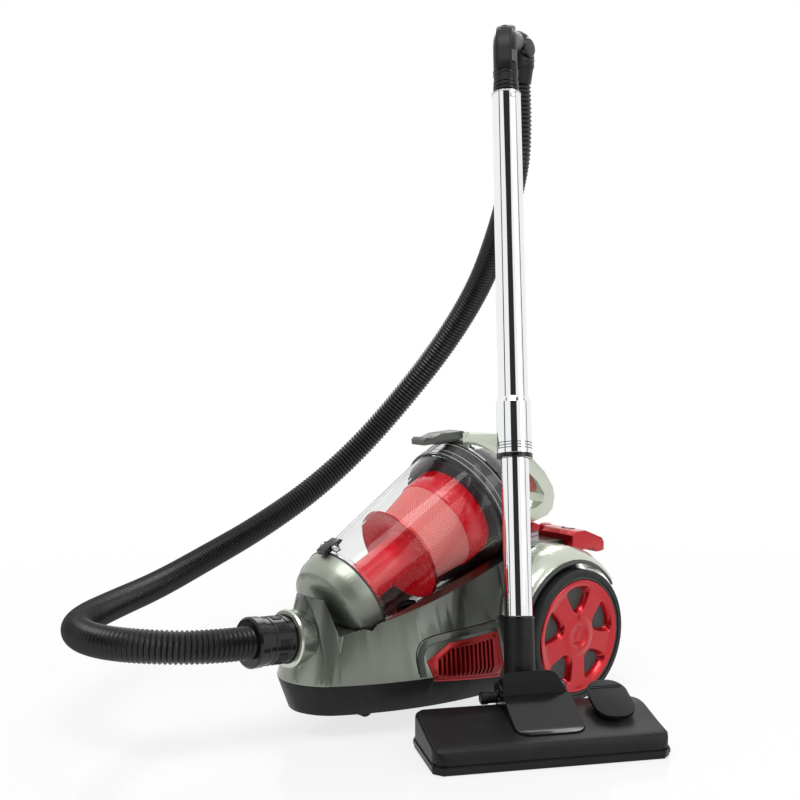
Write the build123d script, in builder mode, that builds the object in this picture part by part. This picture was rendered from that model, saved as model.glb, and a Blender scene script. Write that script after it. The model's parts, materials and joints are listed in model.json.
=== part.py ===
from build123d import *
from math import cos, pi, radians, sin, tan
import os

# Canister vacuum cleaner: a bagless cyclone canister on wheels, its hose, a telescopic wand and a
# floor head.  Millimetres, +Z up, z = 0 on the floor.  The canister points along -Y.
# Pieces are drawn about the point on the floor below the rear axle, and are moved to the middle of
# the footprint when they are written.
FOOT_MID_X = 94.8
FOOT_MID_Y = -137.8

# ---- shared fits and walls -------------------------------------------------------------------
WALL = 2.6                 # moulded shells
GAP = 0.4                  # between neighbouring mouldings
MOVE_GAP = 1.2             # around pieces that lift or swing
RUN_FIT = 0.05             # radial clearance of a shaft in its bore
SLIDE_FIT = 0.2            # radial clearance of a tube in a tube
REACH = 150.0              # half length of cutting tools, more than the body's half width

# ---- rear wheels -----------------------------------------------------------------------------
WHEEL_R = 80.0
WHEEL_W = 26.0
TRACK_OUT = 129.0          # outer face of each wheel, from the middle
TYRE_T = 8.0               # radial thickness of the rubber
TREAD_ROUND = 4.0
CORE_RIM_T = 3.0           # dark ring between tyre and cap
CAP_WINDOWS = 5
WINDOW_IN_R = 27.0
WINDOW_OUT_R = 59.0
WINDOW_IN_W = 15.0
WINDOW_OUT_W = 44.0
WINDOW_ROUND = 6.0
HUB_DIMPLE_R = 11.0
HUB_DIMPLE_DEPTH = 3.0
CORE_WEB_T = 4.0
CORE_BOSS_R = 12.0
AXLE_R = 4.0
AXLE_HEAD_R = 7.0
AXLE_HEAD_T = 2.0

# ---- caster ----------------------------------------------------------------------------------
CASTER_Y = -232.0
CASTER_R = 10.4
CASTER_W = 14.0
CASTER_TRAIL = 9.0
CASTER_STEM_R = 5.0
CASTER_STEM_L = 22.0
CASTER_PIN_R = 2.0
CASTER_CHEEK_T = 3.5
CASTER_PLATE_T = 4.0
CASTER_ROUND = 2.5

# ---- canister body ---------------------------------------------------------------------------
FLOOR_GAP = 26.0           # underside of the tray
SILL_Z = 62.0              # top edge of the black tray
BODY_TOP = 184.0
NOSE_Y = -343.0
SPLIT_Y = -318.0           # joint between nose and side panels
REAR_SPLIT_Y = -88.0       # joint between side panels and rear cover
TAIL_Y = 100.0
HALF_W = 106.0
SIDE_LEAN = 15.0           # degrees that the sides lean in
TRAY_LEAN = 20.0
PLAN = ((28, -335), (50, -314), (86, -240), (HALF_W, -126), (104, -40), (92, 50), (88, 80), (74, TAIL_Y))
TOP_EDGE = ((NOSE_Y, 96), (-338, 138), (-324, 157), (-309, 153), (-302, 114), (-88, 172),
            (-40, BODY_TOP), (62, BODY_TOP), (94, 166), (TAIL_Y, 120))
BAY_X = 92.0               # inner face of each wheel bay
BAY_GAP = 5.0              # over the tread
FENDER_OUT_X = 120.0
FENDER_FROM = 36.0         # degrees about the axle, from the back
FENDER_TO = 160.0

# ---- exhaust grilles -------------------------------------------------------------------------
GRILLE = ((-213, 80), (-207, 57), (-108, 45), (-108, 99), (-182, 96))
GRILLE_T = 5.0
SLATS = 13
SLAT_GAP = 3.6
SLAT_LEAN = 18.0
GRILLE_RIM = 7.0
FILTER_T = 8.0

# ---- bin -------------------------------------------------------------------------------------
BIN_TILT = 26.0            # degrees of its axis above the horizontal
BIN_Y = -256.0             # middle of its lower rim
BIN_Z = 145.0
BIN_L = 190.0
BIN_R0 = 58.5
BIN_R1 = 76.5
BIN_WALL = 2.4
RING_L = 26.0
RING_R = 79.0
HEAD_L = 62.0
BIN_FLOOR_L = 34.0
TUBE_R = 24.0              # dust tube up the middle
TUBE_WALL = 2.0
SKIRT_T = 88.0             # flared skirt of the shroud, from the lower rim
SKIRT_R = 59.0
MESH_T = 149.0             # top of the perforated band
SHROUD_T = 183.0
SHROUD_R0 = 46.0
SHROUD_R1 = 56.0
FILTER_R = 60.0
FILTER_L = 20.0
HANDLE_W = 28.0
LATCH_W = 22.0

# ---- inlet, cuff and hose --------------------------------------------------------------------
INLET_Z = 109.0
INLET_RISE = 4.5           # degrees
CUFF_R = 26.0
CUFF_WALL = 3.0
CUFF_L = 62.0              # from the split plane to the collar
CUFF_IN = 4.0
COLLAR_R = 28.0
COLLAR_L = 14.0
HOSE_D = 36.5

# ---- wand ------------------------------------------------------------------------------------
NECK = (168.0, -144.0, 50.0)
WAND_DIR = Vector(-0.1988, 0.1624, 0.9664).normalized()
HANDLE_DIR = Vector(-0.624, 0.781, 0.0)
INNER_R = 16.0
OUTER_R = 17.5
PIPE_WALL = 1.2
SOCKET_R = 17.4
SOCKET_TOP = 83.0
SPIGOT_L = 40.0
INNER_END = 560.0
SLEEVE_FROM = 269.0
SLEEVE_L = 63.0
SLEEVE_R = 20.2
SLEEVE_RING_L = 7.0
OUTER_FROM = 296.0
OUTER_END = 706.0
GRIP_R = 14.6
GRIP_IN = 40.0             # spigot inside the tube
GRIP_TOP = 778.0
BUTTON_S = 699.0
BUTTON_R = 3.5
HOSE_END = (147.0, 790.0)  # across and along the wand
SWIVEL_R = 24.0

# ---- floor head ------------------------------------------------------------------------------
HEAD_AT = (213.0, -161.0, 0.0)
HEAD_DIR = (0.477, 0.879, 0.0)
HEAD_W = 260.0
HEAD_D = 110.0
HEAD_FRONT_Z = 25.0
HEAD_REAR_Z = 38.0
HEAD_WALL = 2.4
SOLE_T = 4.0
SLOT_D = 16.0
DRUM_R = 16.0
DRUM_L = 66.0
DRUM_SHIFT = 11.0

# ---- the frames that pieces are drawn in -----------------------------------------------------
TO_FRAME = Location((-FOOT_MID_X, -FOOT_MID_Y, 0))
BIN_AT = (0, BIN_Y, BIN_Z)
BIN_AXIS_DIR = (0, cos(radians(BIN_TILT)), sin(radians(BIN_TILT)))
BIN_UP = (0, -sin(radians(BIN_TILT)), cos(radians(BIN_TILT)))
BIN_SIDE = Plane(origin=BIN_AT, x_dir=BIN_UP, z_dir=(-1, 0, 0))
INLET_DIR = (0, -cos(radians(INLET_RISE)), sin(radians(INLET_RISE)))
INLET_SIDE = Plane(origin=(0, SPLIT_Y, INLET_Z), x_dir=(1, 0, 0),
                   z_dir=Vector(1, 0, 0).cross(Vector(INLET_DIR)))
LEFT_WHEEL = Plane(origin=(0, 0, WHEEL_R), x_dir=(0, 0, 1), z_dir=(0, 1, 0))
RIGHT_WHEEL = Plane(origin=(0, 0, WHEEL_R), x_dir=(0, 0, 1), z_dir=(0, -1, 0))
ACROSS = (HANDLE_DIR - WAND_DIR * HANDLE_DIR.dot(WAND_DIR)).normalized()
WAND_SIDE = Plane(origin=NECK, x_dir=ACROSS, z_dir=ACROSS.cross(WAND_DIR))
HEAD_PLANE = Plane(origin=HEAD_AT, x_dir=HEAD_DIR, z_dir=(0, 0, 1))
NECK_DIR = Vector(*HEAD_DIR).normalized()

os.makedirs("parts", exist_ok=True)


def write(builder, name):
    """Label a finished piece, move it into the row's frame and write its file."""
    piece = builder.part.moved(TO_FRAME)
    piece.label = name
    export_step(piece, f"parts/{name}.step")


def turned(side, points):
    """A piece turned about the side plane's Y axis, from (radius, height) points."""
    with BuildPart() as piece:
        with BuildSketch(side):
            with BuildLine():
                Polyline(*points, close=True)
            make_face()
        revolve(axis=Axis(side.origin, side.y_dir))
    return piece


def body_plan(z, inset):
    """Face of the body's plan at height z, drawn in by inset all round."""
    shrink = (HALF_W - inset) / HALF_W
    middle = (NOSE_Y + TAIL_Y) / 2
    shorten = (TAIL_Y - middle - inset) / (TAIL_Y - middle)
    nose, *rest = ((x * shrink, middle + (y - middle) * shorten) for x, y in ((0, NOSE_Y),) + PLAN)
    with BuildSketch(Plane.XY.offset(z)) as plan:
        with BuildLine():
            ThreePointArc(nose, rest[0], rest[1])
            ThreePointArc(rest[1], rest[2], rest[3])
            ThreePointArc(rest[3], rest[4], rest[5])
            ThreePointArc(rest[5], rest[6], rest[7])
            Line(rest[7], (0, rest[7][1]))
            mirror(about=Plane.YZ)
        make_face()
    return plan.sketch


def body_solid(inset):
    """The whole outer form of the canister's body, drawn in by inset."""
    lean_in = (SILL_Z - FLOOR_GAP) * tan(radians(TRAY_LEAN))
    top_in = (BODY_TOP - SILL_Z) * tan(radians(SIDE_LEAN))
    with BuildPart() as body:
        add(body_plan(FLOOR_GAP + inset, inset + lean_in))
        add(body_plan(SILL_Z, inset))
        add(body_plan(BODY_TOP, inset + top_in))
        loft(ruled=True)
        with BuildSketch(Plane.YZ.offset(-REACH)) as profile:
            with BuildLine():
                Polyline((NOSE_Y, FLOOR_GAP), *TOP_EDGE, (TAIL_Y, FLOOR_GAP), close=True)
            make_face()
            if inset:
                offset(amount=-inset, kind=Kind.INTERSECTION)
        extrude(amount=2 * REACH, mode=Mode.INTERSECT)
    return body.part


def side_cut(points, near=-REACH, far=REACH):
    """A prism across the body from near to far, of a (y, z) outline."""
    with BuildPart() as prism:
        with BuildSketch(Plane.YZ.offset(near)):
            with BuildLine():
                Polyline(*points, close=True)
            make_face()
        extrude(amount=far - near)
    return prism.part


def slab(y0, y1, z0, z1, near=-REACH, far=REACH):
    """A box across the body between two Y and two Z values."""
    return side_cut(((y0, z0), (y1, z0), (y1, z1), (y0, z1)), near, far)


def bin_envelope(extra):
    """The space of the bin, its floor and its rings, grown by extra."""
    return turned(BIN_SIDE, (
        (0, -BIN_FLOOR_L - extra), (BIN_R0 - 9 + extra, -BIN_FLOOR_L - extra),
        (BIN_R0 + 3 + extra, -BIN_FLOOR_L + 12), (BIN_R0 + 3 + extra, 2), (BIN_R1 + 1 + extra, BIN_L),
        (RING_R + extra, BIN_L), (RING_R + extra, BIN_L + RING_L + extra),
        (RING_R - 4 + extra, BIN_L + RING_L + HEAD_L / 2), (0, BIN_L + RING_L + HEAD_L / 2))).part


BODY = body_solid(0)
BODY_INSIDE = body_solid(WALL)
BIN_SPACE = bin_envelope(MOVE_GAP)

with BuildPart() as wheel_bays:
    for side in (LEFT_WHEEL, RIGHT_WHEEL):
        add(turned(side, ((0, BAY_X), (WHEEL_R + BAY_GAP, BAY_X),
                          (WHEEL_R + BAY_GAP, REACH), (0, REACH))).part)
BAYS = wheel_bays.part

# ============================== canister body ==============================
REEL_AT = (0, 20, 92)
REEL_R = 54.0
REEL_X0, REEL_X1 = 33.0, 67.0
REEL_DRUM_R = 26.0
REEL_PIN_R = 5.0
REEL_BRACKET_HALF_W = 14.0
REEL_BRACKET_T = 4.0
REEL_SIDE = Plane(origin=REEL_AT, x_dir=(0, 0, 1), z_dir=(0, 1, 0))
GRILLE_OUT = ((-1, 0), (-1, -1), (1, -1), (1, 1), (-1, 1))     # which way each corner's gap goes
GRILLE_HOLE = tuple((y + a * GAP, z + b * GAP) for (y, z), (a, b) in zip(GRILLE, GRILLE_OUT))
TOWER_X = 78.0             # inner face of the posts that carry the stub axles
TOWER_OUT = BAY_X - 2 * GAP
TOWER_R = 11.0
STEM_Y = CASTER_Y - CASTER_TRAIL
STEM_BOSS_T = 4.0
STEM_ROOM = 1.0
SCREW_AT = ((-55, -200), (55, -200), (-66, -110), (66, -110), (-60, 70), (60, 70))
SCREW_R = 3.5
SCREW_HEAD_T = 1.6
SCREW_SHANK_R = 2.0
SCREW_L = 12.0
GLAND_X = -34.0
GLAND_Z = 92.0
GLAND_R = 9.0
GLAND_HOLE_R = 5.0
GLAND_L = 12.0
GLAND_RIM = 2.0

def axle_towers(extra):
    """The two posts that carry the stub axles, grown by extra."""
    half = TOWER_R + extra
    inner, outer = TOWER_X - extra, TOWER_OUT + extra
    with BuildPart() as towers:
        for side in (LEFT_WHEEL, RIGHT_WHEEL):
            add(turned(side, ((0, inner), (half, inner), (half, outer), (0, outer))).part)
            with BuildSketch(Plane.XY.offset(FLOOR_GAP)):
                with Locations((side.y_dir.X * (inner + outer) / 2, 0)):
                    Rectangle(outer - inner, 2 * half)
            extrude(amount=WHEEL_R - FLOOR_GAP)
    return towers.part


with BuildPart() as base_chassis:
    add(BODY)
    add(BODY_INSIDE, mode=Mode.SUBTRACT)
    add(slab(NOSE_Y, TAIL_Y, 0, SILL_Z - GAP / 2), mode=Mode.INTERSECT)
    add(axle_towers(0))
    for side in (LEFT_WHEEL, RIGHT_WHEEL):
        add(turned(side, ((0, 0), (AXLE_R, 0), (AXLE_R, REACH), (0, REACH))).part, mode=Mode.SUBTRACT)
    with BuildSketch(Plane.XY.offset(FLOOR_GAP)):
        with Locations((0, STEM_Y)):
            Circle(CASTER_STEM_R + STEM_BOSS_T)
    extrude(amount=CASTER_STEM_L + 3 * STEM_ROOM)
    with BuildSketch(Plane.XY.offset(FLOOR_GAP)):
        with Locations((0, STEM_Y)):
            Circle(CASTER_STEM_R + RUN_FIT)
    extrude(amount=CASTER_STEM_L + STEM_ROOM, mode=Mode.SUBTRACT)
    add(BAYS, mode=Mode.SUBTRACT)
    add(side_cut(GRILLE_HOLE, 60), mode=Mode.SUBTRACT)
    add(side_cut(GRILLE_HOLE, -REACH, -60), mode=Mode.SUBTRACT)
    bracket_in, bracket_out = REEL_X1 + 1, REEL_X1 + 1 + REEL_BRACKET_T
    add(turned(REEL_SIDE, ((0, REEL_X0 - 4), (REEL_PIN_R, REEL_X0 - 4), (REEL_PIN_R, bracket_in),
                           (REEL_BRACKET_HALF_W, bracket_in), (REEL_BRACKET_HALF_W, bracket_out),
                           (0, bracket_out))).part)
    add(slab(REEL_AT[1] - REEL_BRACKET_HALF_W, REEL_AT[1] + REEL_BRACKET_HALF_W,
             FLOOR_GAP + WALL / 2, REEL_AT[2], bracket_in, bracket_out))
    with BuildSketch(Plane.XY):
        with Locations(*SCREW_AT):
            Circle(SCREW_R)
    extrude(amount=FLOOR_GAP + WALL + 1, mode=Mode.SUBTRACT)
write(base_chassis, "base_chassis")

with BuildPart() as base_screws:
    with BuildSketch(Plane.XY.offset(FLOOR_GAP)):
        with Locations(*SCREW_AT):
            Circle(SCREW_R)
    extrude(amount=SCREW_HEAD_T)
    with BuildSketch(Plane.XY.offset(FLOOR_GAP + SCREW_HEAD_T)):
        with Locations(*SCREW_AT):
            Circle(SCREW_SHANK_R)
    extrude(amount=SCREW_L)
write(base_screws, "base_screws")

INLET_RIM_T = 5.0
INLET_RIM_FROM, INLET_RIM_TO = 4.0, 23.0
with BuildPart() as nose_cap:
    add(BODY)
    add(BODY_INSIDE, mode=Mode.SUBTRACT)
    add(slab(NOSE_Y, SPLIT_Y - GAP / 2, SILL_Z + GAP / 2, BODY_TOP), mode=Mode.INTERSECT)
    add(BIN_SPACE, mode=Mode.SUBTRACT)
    add(turned(INLET_SIDE, ((0, INLET_RIM_FROM), (CUFF_R + INLET_RIM_T, INLET_RIM_FROM),
                            (CUFF_R + INLET_RIM_T, INLET_RIM_TO), (0, INLET_RIM_TO))).part)
    add(turned(INLET_SIDE, ((0, -CUFF_R), (CUFF_R + RUN_FIT, -CUFF_R), (CUFF_R + RUN_FIT, CUFF_L),
                            (0, CUFF_L))).part, mode=Mode.SUBTRACT)
write(nose_cap, "nose_cap")

SIDES = {"left": (GAP / 2, REACH), "right": (-REACH, -GAP / 2)}
for name, (near, far) in SIDES.items():
    with BuildPart() as side_panel:
        add(BODY)
        add(BODY_INSIDE, mode=Mode.SUBTRACT)
        add(slab(SPLIT_Y + GAP / 2, REAR_SPLIT_Y - GAP / 2, SILL_Z + GAP / 2, BODY_TOP, near, far),
            mode=Mode.INTERSECT)
        add(BIN_SPACE, mode=Mode.SUBTRACT)
        add(BAYS, mode=Mode.SUBTRACT)
        add(side_cut(GRILLE_HOLE), mode=Mode.SUBTRACT)
        add(turned(INLET_SIDE, ((0, -CUFF_R), (CUFF_R + GAP, -CUFF_R), (CUFF_R + GAP, CUFF_R),
                                (0, CUFF_R))).part, mode=Mode.SUBTRACT)
    write(side_panel, f"side_panel_{name}")


def grille_edge(y, low):
    """Height of the grille's lower or upper edge at y, inside its rim."""
    corners = (GRILLE[1], GRILLE[2], GRILLE[2]) if low else (GRILLE[0], GRILLE[4], GRILLE[3])
    (y0, z0), (y1, z1), (y2, z2) = corners
    if low or y < y1:
        return z0 + (z1 - z0) * (y - y0) / (y1 - y0)
    return z1 + (z2 - z1) * (y - y1) / (y2 - y1)


with BuildPart() as slat_gaps:
    first = GRILLE[1][0] + GRILLE_RIM
    pitch = (GRILLE[2][0] - GRILLE_RIM - first - SLAT_GAP) / SLATS
    for k in range(SLATS):
        y = first + k * pitch
        low = grille_edge(y, True) + GRILLE_RIM
        high = grille_edge(y, False) - GRILLE_RIM
        lean = (high - low) * tan(radians(SLAT_LEAN)) / 2
        add(side_cut(((y - lean / 2, low), (y + SLAT_GAP - lean / 2, low),
                      (y + SLAT_GAP + lean / 2, high), (y + lean / 2, high))))
GRILLE_BACK = body_solid(GRILLE_T)
with BuildPart() as exhaust_grilles:
    add(BODY)
    add(GRILLE_BACK, mode=Mode.SUBTRACT)
    add(side_cut(GRILLE), mode=Mode.INTERSECT)
    add(slat_gaps.part, mode=Mode.SUBTRACT)
write(exhaust_grilles, "exhaust_grilles")

FILTER_X = 70.0
FILTER_Y0, FILTER_Y1 = -178.0, -112.0
FILTER_TOP = 82.0
with BuildPart() as exhaust_filters:
    for near in (FILTER_X, -FILTER_X - FILTER_T):
        add(slab(FILTER_Y0, FILTER_Y1, FLOOR_GAP + WALL, FILTER_TOP, near, near + FILTER_T))
write(exhaust_filters, "exhaust_filters")

# The port under the bin where the dirty air comes in.
PORT_Y = -165.0
PORT_R = 12.0
PORT_Z0, PORT_Z1 = 90.0, 130.0
with BuildPart() as port:
    with BuildSketch(Plane.XY.offset(PORT_Z0)):
        with Locations((0, PORT_Y)):
            Circle(PORT_R)
    extrude(amount=PORT_Z1 - PORT_Z0)

CRADLE_T = 2.4
CRADLE_FROM = 2.0          # along the bin
with BuildPart() as bin_cradle:
    add(bin_envelope(MOVE_GAP + CRADLE_T))
    add(BIN_SPACE, mode=Mode.SUBTRACT)
    add(body_solid(WALL + GAP), mode=Mode.INTERSECT)
    add(turned(BIN_SIDE, ((0, CRADLE_FROM), (REACH, CRADLE_FROM), (REACH, 2 * REACH),
                          (0, 2 * REACH))).part, mode=Mode.INTERSECT)
    add(port.part, mode=Mode.SUBTRACT)
write(bin_cradle, "bin_cradle")

DUCT_HALF_W = 24.0
DUCT_HOLE_R = 20.0
DUCT_FRONT = SPLIT_Y + 6.8
DUCT = ((DUCT_FRONT, 131), (DUCT_FRONT + 2.4, 131), (-305.6, 109), (-288, 109), (-274, 76),
        (-181, 76), (-181, 102), (-149, 102), (-149, 51.3), (DUCT_FRONT, 51.3))
DUCT_ROOM = ((DUCT_FRONT + 2, 107), (-289.3, 107), (-275.3, 74), (-179, 74), (-179, 103),
             (-151, 103), (-151, 53.3), (DUCT_FRONT + 2, 53.3))
with BuildPart() as inlet_duct:
    add(side_cut(DUCT, -DUCT_HALF_W, DUCT_HALF_W))
    add(side_cut(DUCT_ROOM, -DUCT_HALF_W + TUBE_WALL, DUCT_HALF_W - TUBE_WALL), mode=Mode.SUBTRACT)
    with BuildSketch(Plane.XZ.offset(-DUCT_FRONT)):
        with Locations((0, INLET_Z)):
            Circle(DUCT_HOLE_R)
    extrude(amount=-6, mode=Mode.SUBTRACT)
write(inlet_duct, "inlet_duct")

# Pedals sit in wells of the rear cover, the bin release between them.
PEDAL_X0, PEDAL_X1 = 19.0, 77.0
PEDAL_WALL = 3.0
MARK_Y = 70.0              # middle of the ring sunk in each pedal
MARK_R = 10.0
MARK_LINE = 2.0
MARK_TOP, MARK_Z = 200.0, 191.0
PEDAL = ((44, 170), (44, 190), (51, 194.5), (68, 194), (100, 181), (104, 175), (104, 165), (97, 164),
         (90, 164), (84, 170))
WELL = ((43, 165), (43, BODY_TOP + 9), (REACH, BODY_TOP + 9), (REACH, 159), (84, 159), (84, 165))
RELEASE_AT = (0, 78)
RELEASE_R = 8.0
RELEASE_Z0, RELEASE_Z1 = 160.0, 192.0
RELEASE_WELL_T = 3.0
RELEASE_WELL_Z = 150.0

with BuildPart() as rear_cover:
    add(BODY)
    add(BODY_INSIDE, mode=Mode.SUBTRACT)
    for sign in (-1, 1):
        near, far = sorted((sign * (PEDAL_X0 - PEDAL_WALL), sign * (PEDAL_X1 + PEDAL_WALL)))
        add(side_cut(((41, 162), (41, BODY_TOP), (TAIL_Y, BODY_TOP), (TAIL_Y, 156), (82, 156), (82, 162)),
                     near, far))
    with BuildSketch(Plane.XY.offset(RELEASE_WELL_Z)):
        with Locations(RELEASE_AT):
            Circle(RELEASE_R + RELEASE_WELL_T)
    extrude(amount=BODY_TOP - RELEASE_WELL_Z)
    add(BODY, mode=Mode.INTERSECT)
    add(slab(REAR_SPLIT_Y + GAP / 2, TAIL_Y, SILL_Z + GAP / 2, BODY_TOP), mode=Mode.INTERSECT)
    for sign in (-1, 1):
        near, far = sorted((sign * (PEDAL_X0 - GAP), sign * (PEDAL_X1 + GAP)))
        add(side_cut(WELL, near, far), mode=Mode.SUBTRACT)
    with BuildSketch(Plane.XY.offset(RELEASE_WELL_Z + RELEASE_WELL_T)):
        with Locations(RELEASE_AT):
            Circle(RELEASE_R + GAP)
    extrude(amount=BODY_TOP - RELEASE_WELL_Z, mode=Mode.SUBTRACT)
    add(BIN_SPACE, mode=Mode.SUBTRACT)
    add(BAYS, mode=Mode.SUBTRACT)
    add(axle_towers(1), mode=Mode.SUBTRACT)
    with BuildSketch(Plane.XZ.offset(-TAIL_Y)):
        with Locations((GLAND_X, GLAND_Z)):
            Circle(GLAND_R)
    extrude(amount=TAIL_Y / 2, both=True, mode=Mode.SUBTRACT)
write(rear_cover, "rear_cover")

for name, sign in (("power_pedal", 1), ("cord_pedal", -1)):
    with BuildPart() as pedal:
        near, far = sorted((sign * PEDAL_X0, sign * PEDAL_X1))
        add(side_cut(PEDAL, near, far))
        with BuildSketch(Plane.XY.offset(MARK_TOP)):
            with Locations((sign * (PEDAL_X0 + PEDAL_X1) / 2, MARK_Y)):
                Circle(MARK_R)
                Circle(MARK_R - MARK_LINE, mode=Mode.SUBTRACT)
        extrude(amount=MARK_Z - MARK_TOP, mode=Mode.SUBTRACT)
    write(pedal, name)

with BuildPart() as release_button:
    with BuildSketch(Plane.XY.offset(RELEASE_Z0)):
        with Locations(RELEASE_AT):
            Circle(RELEASE_R)
    extrude(amount=RELEASE_Z1 - RELEASE_Z0)
    fillet(release_button.edges().sort_by(Axis.Z)[-1], 2.5)
write(release_button, "bin_release_button")

with BuildPart() as cord_gland:
    gland = Plane(origin=(GLAND_X, TAIL_Y - 14, GLAND_Z), x_dir=(1, 0, 0), z_dir=(0, 1, 0))
    with BuildSketch(gland):
        Circle(GLAND_R)
        Circle(GLAND_HOLE_R, mode=Mode.SUBTRACT)
    extrude(amount=GLAND_L)
    with BuildSketch(gland.offset(GLAND_L)):
        Circle(GLAND_R + GLAND_RIM)
        Circle(GLAND_HOLE_R, mode=Mode.SUBTRACT)
    extrude(amount=2 * GLAND_RIM)
write(cord_gland, "cord_gland")

FENDER_SECTION = ((105, 66), (104, 96), (97, 112), (87.5, FENDER_OUT_X),
                  (86.2, FENDER_OUT_X - 2), (94, 109.5), (100.8, 94.5), (101.5, 66))
with BuildPart() as fenders:
    for sign in (1, -1):
        start = radians(FENDER_FROM)
        radial = Vector(0, cos(start), sin(start))
        outward = Vector(sign, 0, 0)
        with BuildSketch(Plane(origin=(0, 0, WHEEL_R), x_dir=radial, z_dir=radial.cross(outward))):
            with BuildLine():
                Polyline(*FENDER_SECTION, close=True)
            make_face()
        revolve(axis=Axis((0, 0, WHEEL_R), (1, 0, 0)), revolution_arc=FENDER_TO - FENDER_FROM)
    add(BODY, mode=Mode.SUBTRACT)
    for sign in (1, -1):
        near, far = sorted((sign * (PEDAL_X0 - GAP), sign * (PEDAL_X1 + GAP)))
        add(side_cut(WELL, near, far), mode=Mode.SUBTRACT)
write(fenders, "fenders")

# ============================== inside the body ==============================
MOTOR_AT = (-30, 0, 78)
MOTOR_R = 44.0
MOTOR_SIDE = Plane(origin=MOTOR_AT, x_dir=(0, 0, 1), z_dir=(-1, 0, 0))
MOTOR_FRONT = -68.0
MOTOR_BACK = 18.0
CAN_T = 4.0
SHAFT_R = 4.0
ROTOR_R = 24.0
ROTOR_FROM, ROTOR_TO = -42.0, 4.0
MOTOR_FEET_Y = (-52.0, 5.0)
MOTOR_INLET_R = 14.0

with BuildPart() as motor_can:
    add(turned(MOTOR_SIDE, (
        (SHAFT_R + RUN_FIT, MOTOR_BACK - CAN_T), (MOTOR_R - CAN_T, MOTOR_BACK - CAN_T),
        (MOTOR_R - CAN_T, MOTOR_FRONT), (MOTOR_INLET_R, MOTOR_FRONT), (MOTOR_INLET_R, MOTOR_FRONT - 3),
        (MOTOR_R, MOTOR_FRONT - 3), (MOTOR_R, MOTOR_BACK), (SHAFT_R + RUN_FIT, MOTOR_BACK))).part)
    with BuildSketch(Plane.XY.offset(FLOOR_GAP + WALL)):
        with Locations(*((MOTOR_AT[0], y) for y in MOTOR_FEET_Y)):
            Rectangle(40, 12)
    extrude(until=Until.NEXT)
write(motor_can, "motor_can")

motor_shaft = turned(MOTOR_SIDE, (
    (0, MOTOR_FRONT + 2), (SHAFT_R, MOTOR_FRONT + 2), (SHAFT_R, ROTOR_FROM), (ROTOR_R, ROTOR_FROM),
    (ROTOR_R, ROTOR_TO), (SHAFT_R, ROTOR_TO), (SHAFT_R, MOTOR_BACK + 4), (0, MOTOR_BACK + 4)))
write(motor_shaft, "motor_rotor")

FAN_BLADES = 9
FAN_BLADE_L, FAN_BLADE_T = 24.0, 1.6
FAN_BLADE_AT = 23.0        # middle of each blade, from the shaft
with BuildPart() as fan_impeller:
    add(turned(MOTOR_SIDE, ((SHAFT_R, -63), (9, -63), (9, -54), (36, -50), (36, -48), (SHAFT_R, -48))).part)
    with BuildSketch(Plane(origin=(MOTOR_AT[0], -50, MOTOR_AT[2]), x_dir=(1, 0, 0), z_dir=(0, -1, 0))):
        with PolarLocations(FAN_BLADE_AT, FAN_BLADES):
            Rectangle(FAN_BLADE_L, FAN_BLADE_T, rotation=25)
    extrude(amount=10)
write(fan_impeller, "fan_impeller")

cord_reel = turned(REEL_SIDE, (
    (REEL_PIN_R + RUN_FIT, REEL_X0), (REEL_R, REEL_X0), (REEL_R, REEL_X0 + 2), (REEL_DRUM_R, REEL_X0 + 2),
    (REEL_DRUM_R, REEL_X1 - 2), (REEL_R, REEL_X1 - 2), (REEL_R, REEL_X1), (REEL_PIN_R + RUN_FIT, REEL_X1)))
write(cord_reel, "cord_reel")

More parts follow.
